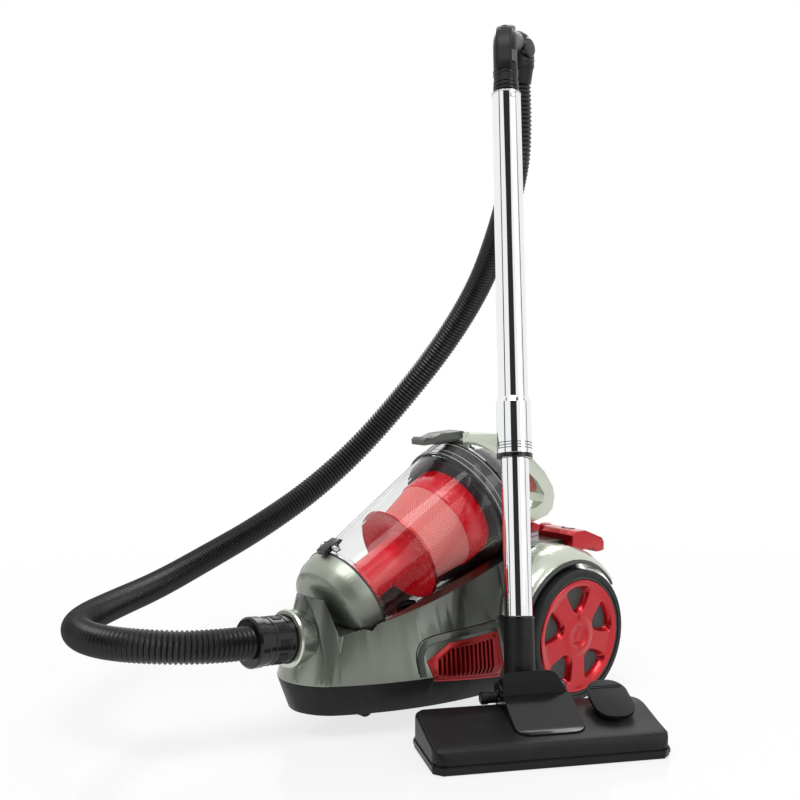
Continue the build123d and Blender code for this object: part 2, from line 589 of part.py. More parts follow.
# ============================== wheels ==============================
TYRE_IN_R = WHEEL_R - TYRE_T
CAP_R = TYRE_IN_R - CORE_RIM_T - 0.4
WHEEL_IN = TRACK_OUT - WHEEL_W
WEB_X = WHEEL_IN + 12
CAP_BACK = WEB_X + CORE_WEB_T + AXLE_HEAD_T + 0.8
WINDOW_TURN = 90.0         # one window stands straight up
for name, side in (("left", LEFT_WHEEL), ("right", RIGHT_WHEEL)):
    out = side.y_dir
    face = Plane(origin=Vector(0, 0, WHEEL_R) + out * WEB_X, x_dir=(0, 1, 0), z_dir=out)
    with BuildPart() as tyre:
        add(turned(side, ((TYRE_IN_R, WHEEL_IN), (WHEEL_R, WHEEL_IN), (WHEEL_R, TRACK_OUT),
                          (TYRE_IN_R, TRACK_OUT))).part)
        fillet(tyre.edges().filter_by(GeomType.CIRCLE).filter_by(lambda e: e.radius > WHEEL_R - 1),
               TREAD_ROUND)
    write(tyre, f"tyre_{name}")

    core = turned(side, (
        (AXLE_R + RUN_FIT, BAY_X + 2 * GAP), (CORE_BOSS_R, BAY_X + 2 * GAP), (CORE_BOSS_R, WEB_X),
        (TYRE_IN_R - CORE_RIM_T, WEB_X), (TYRE_IN_R - CORE_RIM_T, WHEEL_IN + 2),
        (TYRE_IN_R, WHEEL_IN + 2), (TYRE_IN_R, TRACK_OUT - 1.5), (TYRE_IN_R - CORE_RIM_T, TRACK_OUT - 1.5),
        (TYRE_IN_R - CORE_RIM_T, WEB_X + CORE_WEB_T),
        (AXLE_R + RUN_FIT, WEB_X + CORE_WEB_T)))
    write(core, f"wheel_core_{name}")

    with BuildPart() as hub_cap:
        add(turned(side, (
            (0, CAP_BACK), (CAP_R - 5, CAP_BACK), (CAP_R - 5, WEB_X + CORE_WEB_T),
            (CAP_R, WEB_X + CORE_WEB_T), (CAP_R, TRACK_OUT - 2), (CAP_R - 2, TRACK_OUT),
            (CAP_R - 8, TRACK_OUT - 0.5), (CAP_R - 12, TRACK_OUT - 3),
            (24, TRACK_OUT - 2.5), (16, TRACK_OUT - 0.5), (HUB_DIMPLE_R + 1, TRACK_OUT - 0.5),
            (HUB_DIMPLE_R, TRACK_OUT - HUB_DIMPLE_DEPTH), (0, TRACK_OUT - HUB_DIMPLE_DEPTH))).part)
        with BuildSketch(face) as windows:
            with PolarLocations(0, CAP_WINDOWS, start_angle=WINDOW_TURN):
                Polygon((WINDOW_IN_R, -WINDOW_IN_W / 2), (WINDOW_OUT_R - 9, -WINDOW_OUT_W / 2),
                        (WINDOW_OUT_R, -WINDOW_OUT_W / 4), (WINDOW_OUT_R, WINDOW_OUT_W / 4),
                        (WINDOW_OUT_R - 9, WINDOW_OUT_W / 2), (WINDOW_IN_R, WINDOW_IN_W / 2), align=None)
            fillet(windows.vertices(), WINDOW_ROUND)
        extrude(amount=WHEEL_W, mode=Mode.SUBTRACT)
    write(hub_cap, f"hub_cap_{name}")

AXLE_END = WEB_X + CORE_WEB_T + 0.3
with BuildPart() as stub_axles:
    for side in (LEFT_WHEEL, RIGHT_WHEEL):
        add(turned(side, (
            (0, TOWER_X + 1), (AXLE_R, TOWER_X + 1), (AXLE_R, AXLE_END), (AXLE_HEAD_R, AXLE_END),
            (AXLE_HEAD_R, AXLE_END + AXLE_HEAD_T), (0, AXLE_END + AXLE_HEAD_T))).part)
write(stub_axles, "stub_axles")

# ============================== caster ==============================
FORK_TOP = FLOOR_GAP - GAP
CHEEK_IN = CASTER_W / 2 + 0.6
CHEEK_LOW_Z = 6.5
with BuildPart() as caster_fork:
    with BuildSketch(Plane.XY.offset(FORK_TOP - CASTER_PLATE_T)):
        with Locations((0, STEM_Y)):
            Circle(CHEEK_IN + CASTER_CHEEK_T)
        with Locations((0, (STEM_Y + CASTER_Y) / 2)):
            Rectangle(2 * (CHEEK_IN + CASTER_CHEEK_T), CASTER_TRAIL + 4)
    extrude(amount=CASTER_PLATE_T)
    for x in (CHEEK_IN, -CHEEK_IN - CASTER_CHEEK_T):
        with BuildSketch(Plane.YZ.offset(x)) as cheek:
            with BuildLine():
                Polyline((STEM_Y, FORK_TOP - 1), (STEM_Y - 6, FORK_TOP - CASTER_PLATE_T),
                         (CASTER_Y - 5, CHEEK_LOW_Z), (CASTER_Y + 5, CHEEK_LOW_Z),
                         (CASTER_Y + 7, FORK_TOP - CASTER_PLATE_T), (CASTER_Y + 5, FORK_TOP - 1),
                         close=True)
            make_face()
        extrude(amount=CASTER_CHEEK_T)
    with BuildSketch(Plane.XY.offset(FORK_TOP)):
        with Locations((0, STEM_Y)):
            Circle(CASTER_STEM_R)
    extrude(amount=CASTER_STEM_L)
    with BuildSketch(Plane.YZ.offset(-CHEEK_IN)):
        with Locations((CASTER_Y, CASTER_R)):
            Circle(CASTER_PIN_R)
    extrude(amount=2 * CHEEK_IN)
write(caster_fork, "caster_fork")

CASTER_SIDE = Plane(origin=(0, CASTER_Y, CASTER_R), x_dir=(0, 0, 1), z_dir=(0, 1, 0))
with BuildPart() as caster_wheel:
    add(turned(CASTER_SIDE, (
        (CASTER_PIN_R + RUN_FIT, -CASTER_W / 2), (CASTER_R, -CASTER_W / 2), (CASTER_R, CASTER_W / 2),
        (CASTER_PIN_R + RUN_FIT, CASTER_W / 2))).part)
    rims = caster_wheel.edges().filter_by(GeomType.CIRCLE).filter_by(lambda e: e.radius > CASTER_R - 1)
    fillet(rims, CASTER_ROUND)
write(caster_wheel, "caster_wheel")

# ============================== bin ==============================
def bin_wall_r(t):
    """Outer radius of the clear bin, t above its lower rim."""
    return BIN_R0 + (BIN_R1 - BIN_R0) * t / BIN_L


FLANGE_R = BIN_R0 + 3
HINGE_UP = -BIN_R0
HINGE_T = -3.4
CATCH_UP = FLANGE_R + 4
CATCH_T = 6.0
KNUCKLE_R = 3.0
KNUCKLE_W = 14.0
LUG_END = 12.0


def across_bin(radius, x0, x1, up, t):
    """A round bar across the bin, from x0 to x1, at a place above its axis and along it."""
    middle = Vector(*BIN_AT) + Vector(*BIN_UP) * up + Vector(*BIN_AXIS_DIR) * t
    with BuildPart() as bar:
        with BuildSketch(Plane(origin=(x0, middle.Y, middle.Z), x_dir=(0, 1, 0), z_dir=(1, 0, 0))):
            Circle(radius)
        extrude(amount=x1 - x0)
    return bar.part


def bin_prism(points, near, far):
    """A prism across the bin of an outline given as (above its axis, along it)."""
    with BuildPart() as prism:
        at = Vector(*BIN_AT) + Vector(near, 0, 0)
        with BuildSketch(Plane(origin=at, x_dir=BIN_UP, z_dir=(-1, 0, 0))):
            with BuildLine():
                Polyline(*points, close=True)
            make_face()
        extrude(amount=near - far)
    return prism.part


PIN_R = 1.5
with BuildPart() as bin_cylinder:
    add(turned(BIN_SIDE, (
        (BIN_R0 - BIN_WALL, 0), (FLANGE_R, 0), (FLANGE_R, 4), (bin_wall_r(6), 6), (BIN_R1, BIN_L),
        (BIN_R1 - BIN_WALL, BIN_L))).part)
    for x0, x1 in ((KNUCKLE_W / 2 + GAP, LUG_END), (-LUG_END, -KNUCKLE_W / 2 - GAP)):
        add(across_bin(KNUCKLE_R, x0, x1, HINGE_UP, HINGE_T))
        add(bin_prism(((HINGE_UP - 2, HINGE_T), (HINGE_UP + 2, HINGE_T), (HINGE_UP + 2, 2),
                       (HINGE_UP - 2, 2)), x0, x1))
        add(bin_prism(((FLANGE_R - 1, 2), (FLANGE_R + 7, 2), (FLANGE_R + 7, 9), (FLANGE_R - 1, 9)), x0, x1))
    add(across_bin(PIN_R, -LUG_END, LUG_END, HINGE_UP, HINGE_T), mode=Mode.SUBTRACT)
    add(across_bin(PIN_R, -LUG_END, LUG_END, CATCH_UP, CATCH_T), mode=Mode.SUBTRACT)
    add(port.part, mode=Mode.SUBTRACT)
write(bin_cylinder, "bin_cylinder")

LUG_CLEAR = 0.7
HINGE_ROOM_X = 27.0
with BuildPart() as hinge_room:
    add(bin_prism(((HINGE_UP - 8, -8), (HINGE_UP - 8, 1), (HINGE_UP - 0.3, 1), (HINGE_UP - 0.3, HINGE_T)),
                  HINGE_ROOM_X, -HINGE_ROOM_X))
    add(across_bin(KNUCKLE_R, -HINGE_ROOM_X, HINGE_ROOM_X, HINGE_UP, HINGE_T), mode=Mode.SUBTRACT)

with BuildPart() as bin_floor:
    add(turned(BIN_SIDE, (
        (0, -BIN_FLOOR_L), (44, -BIN_FLOOR_L), (53, -30), (59, -18), (FLANGE_R, -3), (FLANGE_R, -0.6),
        (BIN_R0, -0.6), (BIN_R0, HINGE_T), (55.5, HINGE_T), (53.5, -17), (49.5, -26), (43, -30.5),
        (0, -30.5))).part)
    add(across_bin(KNUCKLE_R, -KNUCKLE_W / 2, KNUCKLE_W / 2, HINGE_UP, HINGE_T))
    add(across_bin(PIN_R + RUN_FIT, -LUG_END, LUG_END, HINGE_UP, HINGE_T), mode=Mode.SUBTRACT)
    for x0, x1 in ((KNUCKLE_W / 2, LUG_END + GAP), (-LUG_END - GAP, -KNUCKLE_W / 2)):
        add(across_bin(KNUCKLE_R + LUG_CLEAR, x0, x1, HINGE_UP, HINGE_T), mode=Mode.SUBTRACT)
    add(hinge_room.part, mode=Mode.SUBTRACT)
write(bin_floor, "bin_floor")

with BuildPart() as floor_seal:
    add(turned(BIN_SIDE, ((BIN_R0 - 2.8, -3.2), (BIN_R0 - 0.2, -3.2), (BIN_R0 - 0.2, -0.3),
                          (BIN_R0 - 2.8, -0.3))).part)
    add(across_bin(KNUCKLE_R + LUG_CLEAR, -LUG_END - GAP, LUG_END + GAP, HINGE_UP, HINGE_T),
        mode=Mode.SUBTRACT)
write(floor_seal, "bin_floor_seal")

with BuildPart() as floor_catch:
    add(across_bin(3.2, -KNUCKLE_W / 2, KNUCKLE_W / 2, CATCH_UP, CATCH_T))
    add(bin_prism(((CATCH_UP - 2, -9), (CATCH_UP + 3.5, -9), (CATCH_UP + 4.5, 0), (CATCH_UP + 4, 16),
                   (CATCH_UP + 1, 20), (CATCH_UP - 0.5, 16), (CATCH_UP - 2, 6)),
                  -KNUCKLE_W / 2, KNUCKLE_W / 2))
    add(across_bin(PIN_R + RUN_FIT, -LUG_END, LUG_END, CATCH_UP, CATCH_T), mode=Mode.SUBTRACT)
write(floor_catch, "bin_floor_catch")

RING_T = BIN_L + 0.2
with BuildPart() as head_ring:
    add(turned(BIN_SIDE, (
        (RING_R - 5, RING_T), (RING_R, RING_T), (RING_R, BIN_L + RING_L - 3), (RING_R - 2, BIN_L + RING_L),
        (RING_R - 8, BIN_L + RING_L), (RING_R - 8, BIN_L + RING_L - 3),
        (RING_R - 5, BIN_L + RING_L - 6))).part)
write(head_ring, "head_ring")

with BuildPart() as cyclone_shroud:
    add(turned(BIN_SIDE, (
        (TUBE_R + 2, SKIRT_T + 8), (SKIRT_R, SKIRT_T - 2), (SKIRT_R, SKIRT_T), (SHROUD_R0 + 1, SKIRT_T + 8),
        (SHROUD_R1, MESH_T + 2), (SHROUD_R1 + 1.5, SHROUD_T), (SHROUD_R1 - 2, SHROUD_T),
        (SHROUD_R1 - 2, MESH_T + 2), (SHROUD_R0 - 1, SKIRT_T + 10.5), (TUBE_R + 2, SKIRT_T + 10.5))).part)
    add(turned(BIN_SIDE, ((TUBE_R - TUBE_WALL, 3), (TUBE_R, 3), (TUBE_R, SKIRT_T + 6),
                          (TUBE_R + 3.7, SKIRT_T + 8),
                          (TUBE_R + 3.7, SKIRT_T + 40), (TUBE_R + 1.7, SKIRT_T + 40),
                          (TUBE_R - TUBE_WALL, SKIRT_T + 8))).part)
write(cyclone_shroud, "cyclone_shroud")

FILTER_RIM_R = BIN_R1 - BIN_WALL - 2 * GAP
bin_filter = turned(BIN_SIDE, (
    (0, SHROUD_T + 0.3), (FILTER_RIM_R, SHROUD_T + 0.3), (FILTER_RIM_R, BIN_L), (FILTER_R, BIN_L),
    (FILTER_R, SHROUD_T + FILTER_L), (0, SHROUD_T + FILTER_L)))
write(bin_filter, "bin_filter")

HEAD_T = BIN_L + RING_L + 0.2
HEAD_SHAPE = ((RING_R - 1, 0), (RING_R - 4, 13), (RING_R - 13, 28), (RING_R - 28, 42), (RING_R - 46, 51),
              (0, 55))
with BuildPart() as bin_head:
    add(turned(BIN_SIDE, tuple((r, HEAD_T + t) for r, t in HEAD_SHAPE) + (
        (0, HEAD_T + 52), (RING_R - 48, HEAD_T + 48), (RING_R - 31, HEAD_T + 39),
        (RING_R - 16, HEAD_T + 26), (RING_R - 7, HEAD_T + 12), (RING_R - 4, HEAD_T))).part)
write(bin_head, "bin_head")
HEAD_SOLID = turned(BIN_SIDE, ((0, BIN_L),) + ((RING_R + 0.2, BIN_L), (RING_R + 0.2, HEAD_T)) + tuple(
    (r, HEAD_T + t) for r, t in HEAD_SHAPE)).part

HANDLE_SHAPE = ((-76, 321), (-26, 318), (10, 302), (31, 287), (60, 263), (76, 242), (79, 230),
                (76, 214), (66, 206), (48, 202), (0, 192), (-14, 200), (0, 214), (46, 218),
                (57, 224), (60, 234), (46, 252), (20, 272), (-28, 296), (-76, 300))
EAR_T = 2.8
EAR_SHAPE = ((-76, 324), (-86, 323), (-86, 311), (-76, 311))
LATCH_PIN = (-80, 320.0)
with BuildPart() as bin_handle:
    add(side_cut(HANDLE_SHAPE, -HANDLE_W / 2, HANDLE_W / 2))
    for near in (-HANDLE_W / 2, HANDLE_W / 2 - EAR_T):
        add(side_cut(EAR_SHAPE, near, near + EAR_T))
    with BuildSketch(Plane.YZ.offset(-HANDLE_W)):
        with Locations(LATCH_PIN):
            Circle(PIN_R)
    extrude(amount=2 * HANDLE_W, mode=Mode.SUBTRACT)
    add(HEAD_SOLID, mode=Mode.SUBTRACT)
write(bin_handle, "bin_handle")

LATCH = ((-147, 312), (-148, 318), (-144, 321), (-134, 320), (-120, 324), (-84, 325.5),
         (-78, 322.6), (-77.5, 318), (-86, 316.5), (-112, 312.5), (-122, 311), (-134, 312.5))
with BuildPart() as head_latch:
    add(side_cut(LATCH, -LATCH_W / 2, LATCH_W / 2))
    with BuildSketch(Plane.YZ.offset(-HANDLE_W)):
        with Locations(LATCH_PIN):
            Circle(PIN_R + RUN_FIT)
    extrude(amount=2 * HANDLE_W, mode=Mode.SUBTRACT)
write(head_latch, "head_latch")

with BuildPart() as bin_pins:
    add(across_bin(PIN_R, -LUG_END, LUG_END, HINGE_UP, HINGE_T))
    add(across_bin(PIN_R, -LUG_END, LUG_END, CATCH_UP, CATCH_T))
    with BuildSketch(Plane.YZ.offset(-HANDLE_W / 2)):
        with Locations(LATCH_PIN):
            Circle(PIN_R)
    extrude(amount=HANDLE_W)
write(bin_pins, "bin_pins")

# ============================== hose cuff ==============================
hose_cuff = turned(INLET_SIDE, (
    (CUFF_R - CUFF_WALL, -CUFF_IN), (CUFF_R, -CUFF_IN), (CUFF_R, CUFF_L), (CUFF_R - CUFF_WALL, CUFF_L)))
write(hose_cuff, "hose_cuff")
cuff_collar = turned(INLET_SIDE, (
    (HOSE_D / 2 - 4, CUFF_L), (COLLAR_R - 1, CUFF_L), (COLLAR_R, CUFF_L + 2),
    (COLLAR_R, CUFF_L + COLLAR_L - 2), (COLLAR_R - 2, CUFF_L + COLLAR_L),
    (HOSE_D / 2 - 4, CUFF_L + COLLAR_L)))
write(cuff_collar, "cuff_collar")

# ============================== wand ==============================
def along_neck(radius, near, far):
    """A round bar along the neck's pivot axis, from near to far of its middle."""
    with BuildPart() as bar:
        with BuildSketch(Plane(origin=Vector(*NECK) + NECK_DIR * near, z_dir=NECK_DIR)):
            Circle(radius)
        extrude(amount=far - near)
    return bar.part


def on_wand(across, along):
    """A point of the wand's own plane."""
    return Vector(*NECK) + ACROSS * across + WAND_DIR * along


DRUM_0 = DRUM_SHIFT - DRUM_L / 2
DRUM_1 = DRUM_SHIFT + DRUM_L / 2
DRUM_WALL = 2.6
NECK_PIN_R = 4.0
NECK_SLOT_W = 14.0
BORE_R = 12.5
SPIGOT_FROM = SOCKET_TOP - SPIGOT_L
with BuildPart() as neck:
    add(along_neck(DRUM_R, DRUM_0, DRUM_1))
    add(turned(WAND_SIDE, ((0, 8), (SOCKET_R, 8), (SOCKET_R, SOCKET_TOP - 1), (SOCKET_R - 1, SOCKET_TOP),
                           (0, SOCKET_TOP))).part)
    add(turned(WAND_SIDE, ((0, 0), (BORE_R, 0), (BORE_R, SPIGOT_FROM), (INNER_R, SPIGOT_FROM),
                           (INNER_R, SOCKET_TOP),
                           (0, SOCKET_TOP))).part, mode=Mode.SUBTRACT)
    add(along_neck(DRUM_R - DRUM_WALL, DRUM_0 + DRUM_WALL, DRUM_1 - DRUM_WALL), mode=Mode.SUBTRACT)
    add(along_neck(NECK_PIN_R + RUN_FIT, DRUM_0 - 1, DRUM_1 + 1), mode=Mode.SUBTRACT)
    with BuildSketch(Plane(origin=NECK, x_dir=NECK_DIR, z_dir=(0, 0, 1))):
        with Locations((DRUM_SHIFT, 0)):
            Rectangle(DRUM_L - 24, NECK_SLOT_W)
    extrude(amount=-2 * DRUM_R, mode=Mode.SUBTRACT)
write(neck, "neck")

inner_tube = turned(WAND_SIDE, (
    (INNER_R - PIPE_WALL, SPIGOT_FROM), (INNER_R, SPIGOT_FROM), (INNER_R, INNER_END),
    (INNER_R - PIPE_WALL, INNER_END)))
write(inner_tube, "inner_tube")

BUTTON_DIR = (Vector(0.946, -0.325, 0) - WAND_DIR * Vector(0.946, -0.325, 0).dot(WAND_DIR)).normalized()


def button_bar(radius, near, far, along):
    """A round bar across the wand in the snap button's direction."""
    with BuildPart() as bar:
        with BuildSketch(Plane(origin=on_wand(0, along) + BUTTON_DIR * near, z_dir=BUTTON_DIR)):
            Circle(radius)
        extrude(amount=far - near)
    return bar.part


BUTTON_FIT = 0.2
with BuildPart() as outer_tube:
    add(turned(WAND_SIDE, ((INNER_R + SLIDE_FIT, OUTER_FROM), (OUTER_R, OUTER_FROM), (OUTER_R, OUTER_END),
                           (INNER_R + SLIDE_FIT, OUTER_END))).part)
    add(button_bar(BUTTON_R + BUTTON_FIT, 5, 2 * OUTER_R, BUTTON_S), mode=Mode.SUBTRACT)
write(outer_tube, "outer_tube")

SLEEVE_END = SLEEVE_FROM + SLEEVE_L
lock_sleeve = turned(WAND_SIDE, (
    (INNER_R + 2 * SLIDE_FIT, SLEEVE_FROM - SLEEVE_RING_L), (SLEEVE_R, SLEEVE_FROM - SLEEVE_RING_L),
    (SLEEVE_R, SLEEVE_END - 6),
    (SLEEVE_R - 1, SLEEVE_END - 2), (OUTER_R + 0.8, SLEEVE_END), (OUTER_R + RUN_FIT, SLEEVE_END),
    (OUTER_R + RUN_FIT, OUTER_FROM - 10), (INNER_R + 2 * SLIDE_FIT, OUTER_FROM - 12)))
write(lock_sleeve, "lock_sleeve")

# The grip is a bent pipe whose end points down; the hose swivels on it.
GRIP_CORNER = (135.0, 836.0)
GRIP_PATH = ((0, OUTER_END - GRIP_IN), (0, GRIP_TOP), GRIP_CORNER, HOSE_END)
GRIP_RADII = (25.0, 22.0)
GRIP_WALL = 2.0
SLIDER_FROM = 743.0
SLIDER_L = 15.0
SLIDER_TURN = 60.0
DROP_DIR = (on_wand(*HOSE_END) - on_wand(*GRIP_CORNER)).normalized()
SWIVEL_SIDE = Plane(origin=on_wand(*HOSE_END), x_dir=ACROSS - DROP_DIR * ACROSS.dot(DROP_DIR), z_dir=(
    ACROSS - DROP_DIR * ACROSS.dot(DROP_DIR)).cross(-DROP_DIR))
CUP_DROP = 7.6             # the swivel's cup reaches this far below the pipe's end
CUP_RISE = 10.6
CUP_BORE_R = 13.0
HOUSING_FROM = 11.0
HOUSING_TOP = 36.4


def grip_pipe(radius):
    """The pipe of the grip, solid, of one radius."""
    with BuildPart() as pipe:
        with BuildLine():
            FilletPolyline(*(on_wand(*point) for point in GRIP_PATH), radius=GRIP_RADII)
        with BuildSketch(Plane(origin=on_wand(*GRIP_PATH[0]), x_dir=ACROSS, z_dir=WAND_DIR)):
            Circle(radius)
        sweep()
    return pipe.part


with BuildPart() as grip:
    add(grip_pipe(GRIP_R))
    add(turned(WAND_SIDE, ((0, OUTER_END - GRIP_IN), (INNER_R + SLIDE_FIT, OUTER_END - GRIP_IN),
                           (INNER_R + SLIDE_FIT, OUTER_END - 1), (0, OUTER_END - 1))).part)
    add(grip_pipe(GRIP_R - GRIP_WALL), mode=Mode.SUBTRACT)
    add(button_bar(BUTTON_R + BUTTON_FIT, 5, 2 * OUTER_R, BUTTON_S), mode=Mode.SUBTRACT)
    add(button_bar(3, 5, 2 * OUTER_R, SLIDER_FROM + SLIDER_L / 2), mode=Mode.SUBTRACT)
write(grip, "grip")

with BuildPart() as snap_button:
    add(button_bar(BUTTON_R, 13.4, OUTER_R + 1.2, BUTTON_S))
write(snap_button, "snap_button")

with BuildPart() as suction_slider:
    start = BUTTON_DIR.rotate(Axis((0, 0, 0), WAND_DIR), -SLIDER_TURN / 2)
    with BuildSketch(Plane(origin=on_wand(0, SLIDER_FROM), x_dir=start, z_dir=start.cross(WAND_DIR))):
        with Locations((GRIP_R + RUN_FIT + 1, SLIDER_L / 2)):
            Rectangle(2, SLIDER_L)
    revolve(axis=Axis(on_wand(0, 0), WAND_DIR), revolution_arc=SLIDER_TURN)
write(suction_slider, "suction_slider")

with BuildPart() as swivel_housing:
    add(turned(SWIVEL_SIDE, ((0, HOUSING_FROM), (22.5, HOUSING_FROM), (SWIVEL_R, 15),
                             (SWIVEL_R - 0.5, 24), (SWIVEL_R - 4, 32), (12, HOUSING_TOP),
                             (0, HOUSING_TOP))).part)
    add(grip_pipe(GRIP_R), mode=Mode.SUBTRACT)
write(swivel_housing, "swivel_housing")

hose_cup = turned(SWIVEL_SIDE, (
    (GRIP_R + RUN_FIT, CUP_RISE), (22.3, CUP_RISE), (20.5, 2), (HOSE_D / 2 + 0.35, -CUP_DROP),
    (CUP_BORE_R, -CUP_DROP), (CUP_BORE_R, -0.6), (GRIP_R + RUN_FIT, -0.6)))
write(hose_cup, "hose_cup")

# ============================== floor head ==============================
HALF_HEAD = HEAD_W / 2
HALF_DEPTH = HEAD_D / 2
CORNER_Y = 9.0             # the cut corners' size, rearward and along the head
CORNER_X = 9.0
REAR_CORNER_Y = 17.0
REAR_CORNER_X = 12.0
HEAD_PLAN = ((-HALF_HEAD, -HALF_DEPTH + CORNER_Y), (-HALF_HEAD + CORNER_X, -HALF_DEPTH),
             (HALF_HEAD - CORNER_X, -HALF_DEPTH), (HALF_HEAD, -HALF_DEPTH + CORNER_Y),
             (HALF_HEAD, HALF_DEPTH - REAR_CORNER_Y), (HALF_HEAD - REAR_CORNER_X, HALF_DEPTH),
             (-HALF_HEAD + REAR_CORNER_X, HALF_DEPTH), (-HALF_HEAD, HALF_DEPTH - REAR_CORNER_Y))
HEAD_PROFILE = ((-HALF_DEPTH, 0), (-HALF_DEPTH, 13), (-HALF_DEPTH + 5, HEAD_FRONT_Z), (-18, 30),
                (22, HEAD_REAR_Z), (HALF_DEPTH - 5, HEAD_REAR_Z), (HALF_DEPTH, 32), (HALF_DEPTH, 0))
PIVOT_X = (Vector(*NECK) - Vector(*HEAD_AT)).dot(NECK_DIR)
SADDLE_0 = PIVOT_X + DRUM_0 - GAP
SADDLE_1 = PIVOT_X + DRUM_1 + GAP
CHEEK_T = 4.5
STRIPS = (-44.0, -13.0)
STRIP_T = 3.0
STRIP_HALF_W = 114.0
SLOT_HALF_W = 110.0
SLOT_Y = -28.5
STRIP_Z0, STRIP_Z1 = 5.5, 18.0
STRIP_FIT = 0.3
RAIL_HALF_W = STRIP_HALF_W + 2
RAIL_HALF_T = STRIP_T / 2 + 1.8
RAIL_Z = 9.0
ROLLER_X, ROLLER_Y = 96.0, 40.0
ROLLER_R = 8.0
ROLLER_W = 12.0
ROLLER_PIN_R = 1.5


def on_head(x, y, z):
    """A point of the floor head: along it, rearward and up."""
    return Vector(*HEAD_AT) + NECK_DIR * x + HEAD_PLANE.y_dir * y + Vector(0, 0, z)


def head_prism(points, near, far):
    """A prism along the floor head of a (rearward, up) outline, from near to far."""
    with BuildPart() as prism:
        with BuildSketch(Plane(origin=on_head(near, 0, 0), x_dir=HEAD_PLANE.y_dir, z_dir=NECK_DIR)):
            with BuildLine():
                Polyline(*points, close=True)
            make_face()
        extrude(amount=far - near)
    return prism.part


def head_bar(radius, y, z, near, far):
    """A round bar along the floor head."""
    with BuildPart() as bar:
        with BuildSketch(Plane(origin=on_head(near, y, z), z_dir=NECK_DIR)):
            Circle(radius)
        extrude(amount=far - near)
    return bar.part


def head_box(x0, x1, y0, y1, z0, z1):
    """A box in the floor head's own frame."""
    return head_prism(((y0, z0), (y1, z0), (y1, z1), (y0, z1)), x0, x1)


def head_solid(inset):
    """The outer form of the floor head, drawn in by inset."""
    with BuildPart() as solid:
        with BuildSketch(HEAD_PLANE):
            with BuildLine():
                Polyline(*HEAD_PLAN, close=True)
            make_face()
            if inset:
                offset(amount=-inset, kind=Kind.INTERSECTION)
        extrude(amount=HEAD_REAR_Z)
        with BuildSketch(Plane(origin=Vector(*HEAD_AT) - NECK_DIR * HEAD_W, x_dir=HEAD_PLANE.y_dir,
                               z_dir=NECK_DIR)):
            with BuildLine():
                Polyline(*HEAD_PROFILE, close=True)
            make_face()
            if inset:
                offset(amount=-inset, kind=Kind.INTERSECTION)
        extrude(amount=2 * HEAD_W, mode=Mode.INTERSECT)
    return solid.part


HEAD = head_solid(0)
with BuildPart() as roller_rooms:
    for x in (-ROLLER_X, ROLLER_X):
        add(head_box(x - ROLLER_W / 2 - 1, x + ROLLER_W / 2 + 1, ROLLER_Y - ROLLER_R - 1,
                     ROLLER_Y + ROLLER_R + 1, -1, 18))

with BuildPart() as head_duct:
    add(head_box(-28, 36, -37.5, 51, SOLE_T / 2, 29))
    add(head_box(-26, 34, -35.5, 49, SOLE_T + 1, 27), mode=Mode.SUBTRACT)
    add(head_box(-26, 34, -35.5, -21.5, 0, SOLE_T + 2), mode=Mode.SUBTRACT)
    add(head_box(-26, 34, 38, 49, 20, 40), mode=Mode.SUBTRACT)
    add(head_solid(HEAD_WALL + GAP), mode=Mode.INTERSECT)

with BuildPart() as head_sole:
    add(HEAD)
    add(head_box(-HEAD_W, HEAD_W, -HEAD_D, HEAD_D, 0, SOLE_T), mode=Mode.INTERSECT)
    add(head_box(-SLOT_HALF_W, SLOT_HALF_W, SLOT_Y - SLOT_D / 2, SLOT_Y + SLOT_D / 2, -1, SOLE_T + 1),
        mode=Mode.SUBTRACT)
    for y in STRIPS:
        add(head_box(-RAIL_HALF_W, RAIL_HALF_W, y - RAIL_HALF_T, y + RAIL_HALF_T, SOLE_T / 2, RAIL_Z))
    add(roller_rooms.part, mode=Mode.SUBTRACT)
    for x in (-ROLLER_X, ROLLER_X):
        for near, far in ((x - ROLLER_W / 2 - 4, x - ROLLER_W / 2 - 1),
                          (x + ROLLER_W / 2 + 1, x + ROLLER_W / 2 + 4)):
            add(head_box(near, far, ROLLER_Y - 4, ROLLER_Y + 4, SOLE_T, ROLLER_R + 4))
    add(head_duct.part)
    for y in STRIPS:
        add(head_box(-STRIP_HALF_W - STRIP_FIT, STRIP_HALF_W + STRIP_FIT, y - STRIP_T / 2 - STRIP_FIT,
                     y + STRIP_T / 2 + STRIP_FIT, -1, STRIP_Z1 + 1), mode=Mode.SUBTRACT)
    add(head_bar(ROLLER_PIN_R, ROLLER_Y, ROLLER_R, -HEAD_W, HEAD_W), mode=Mode.SUBTRACT)
write(head_sole, "head_sole")

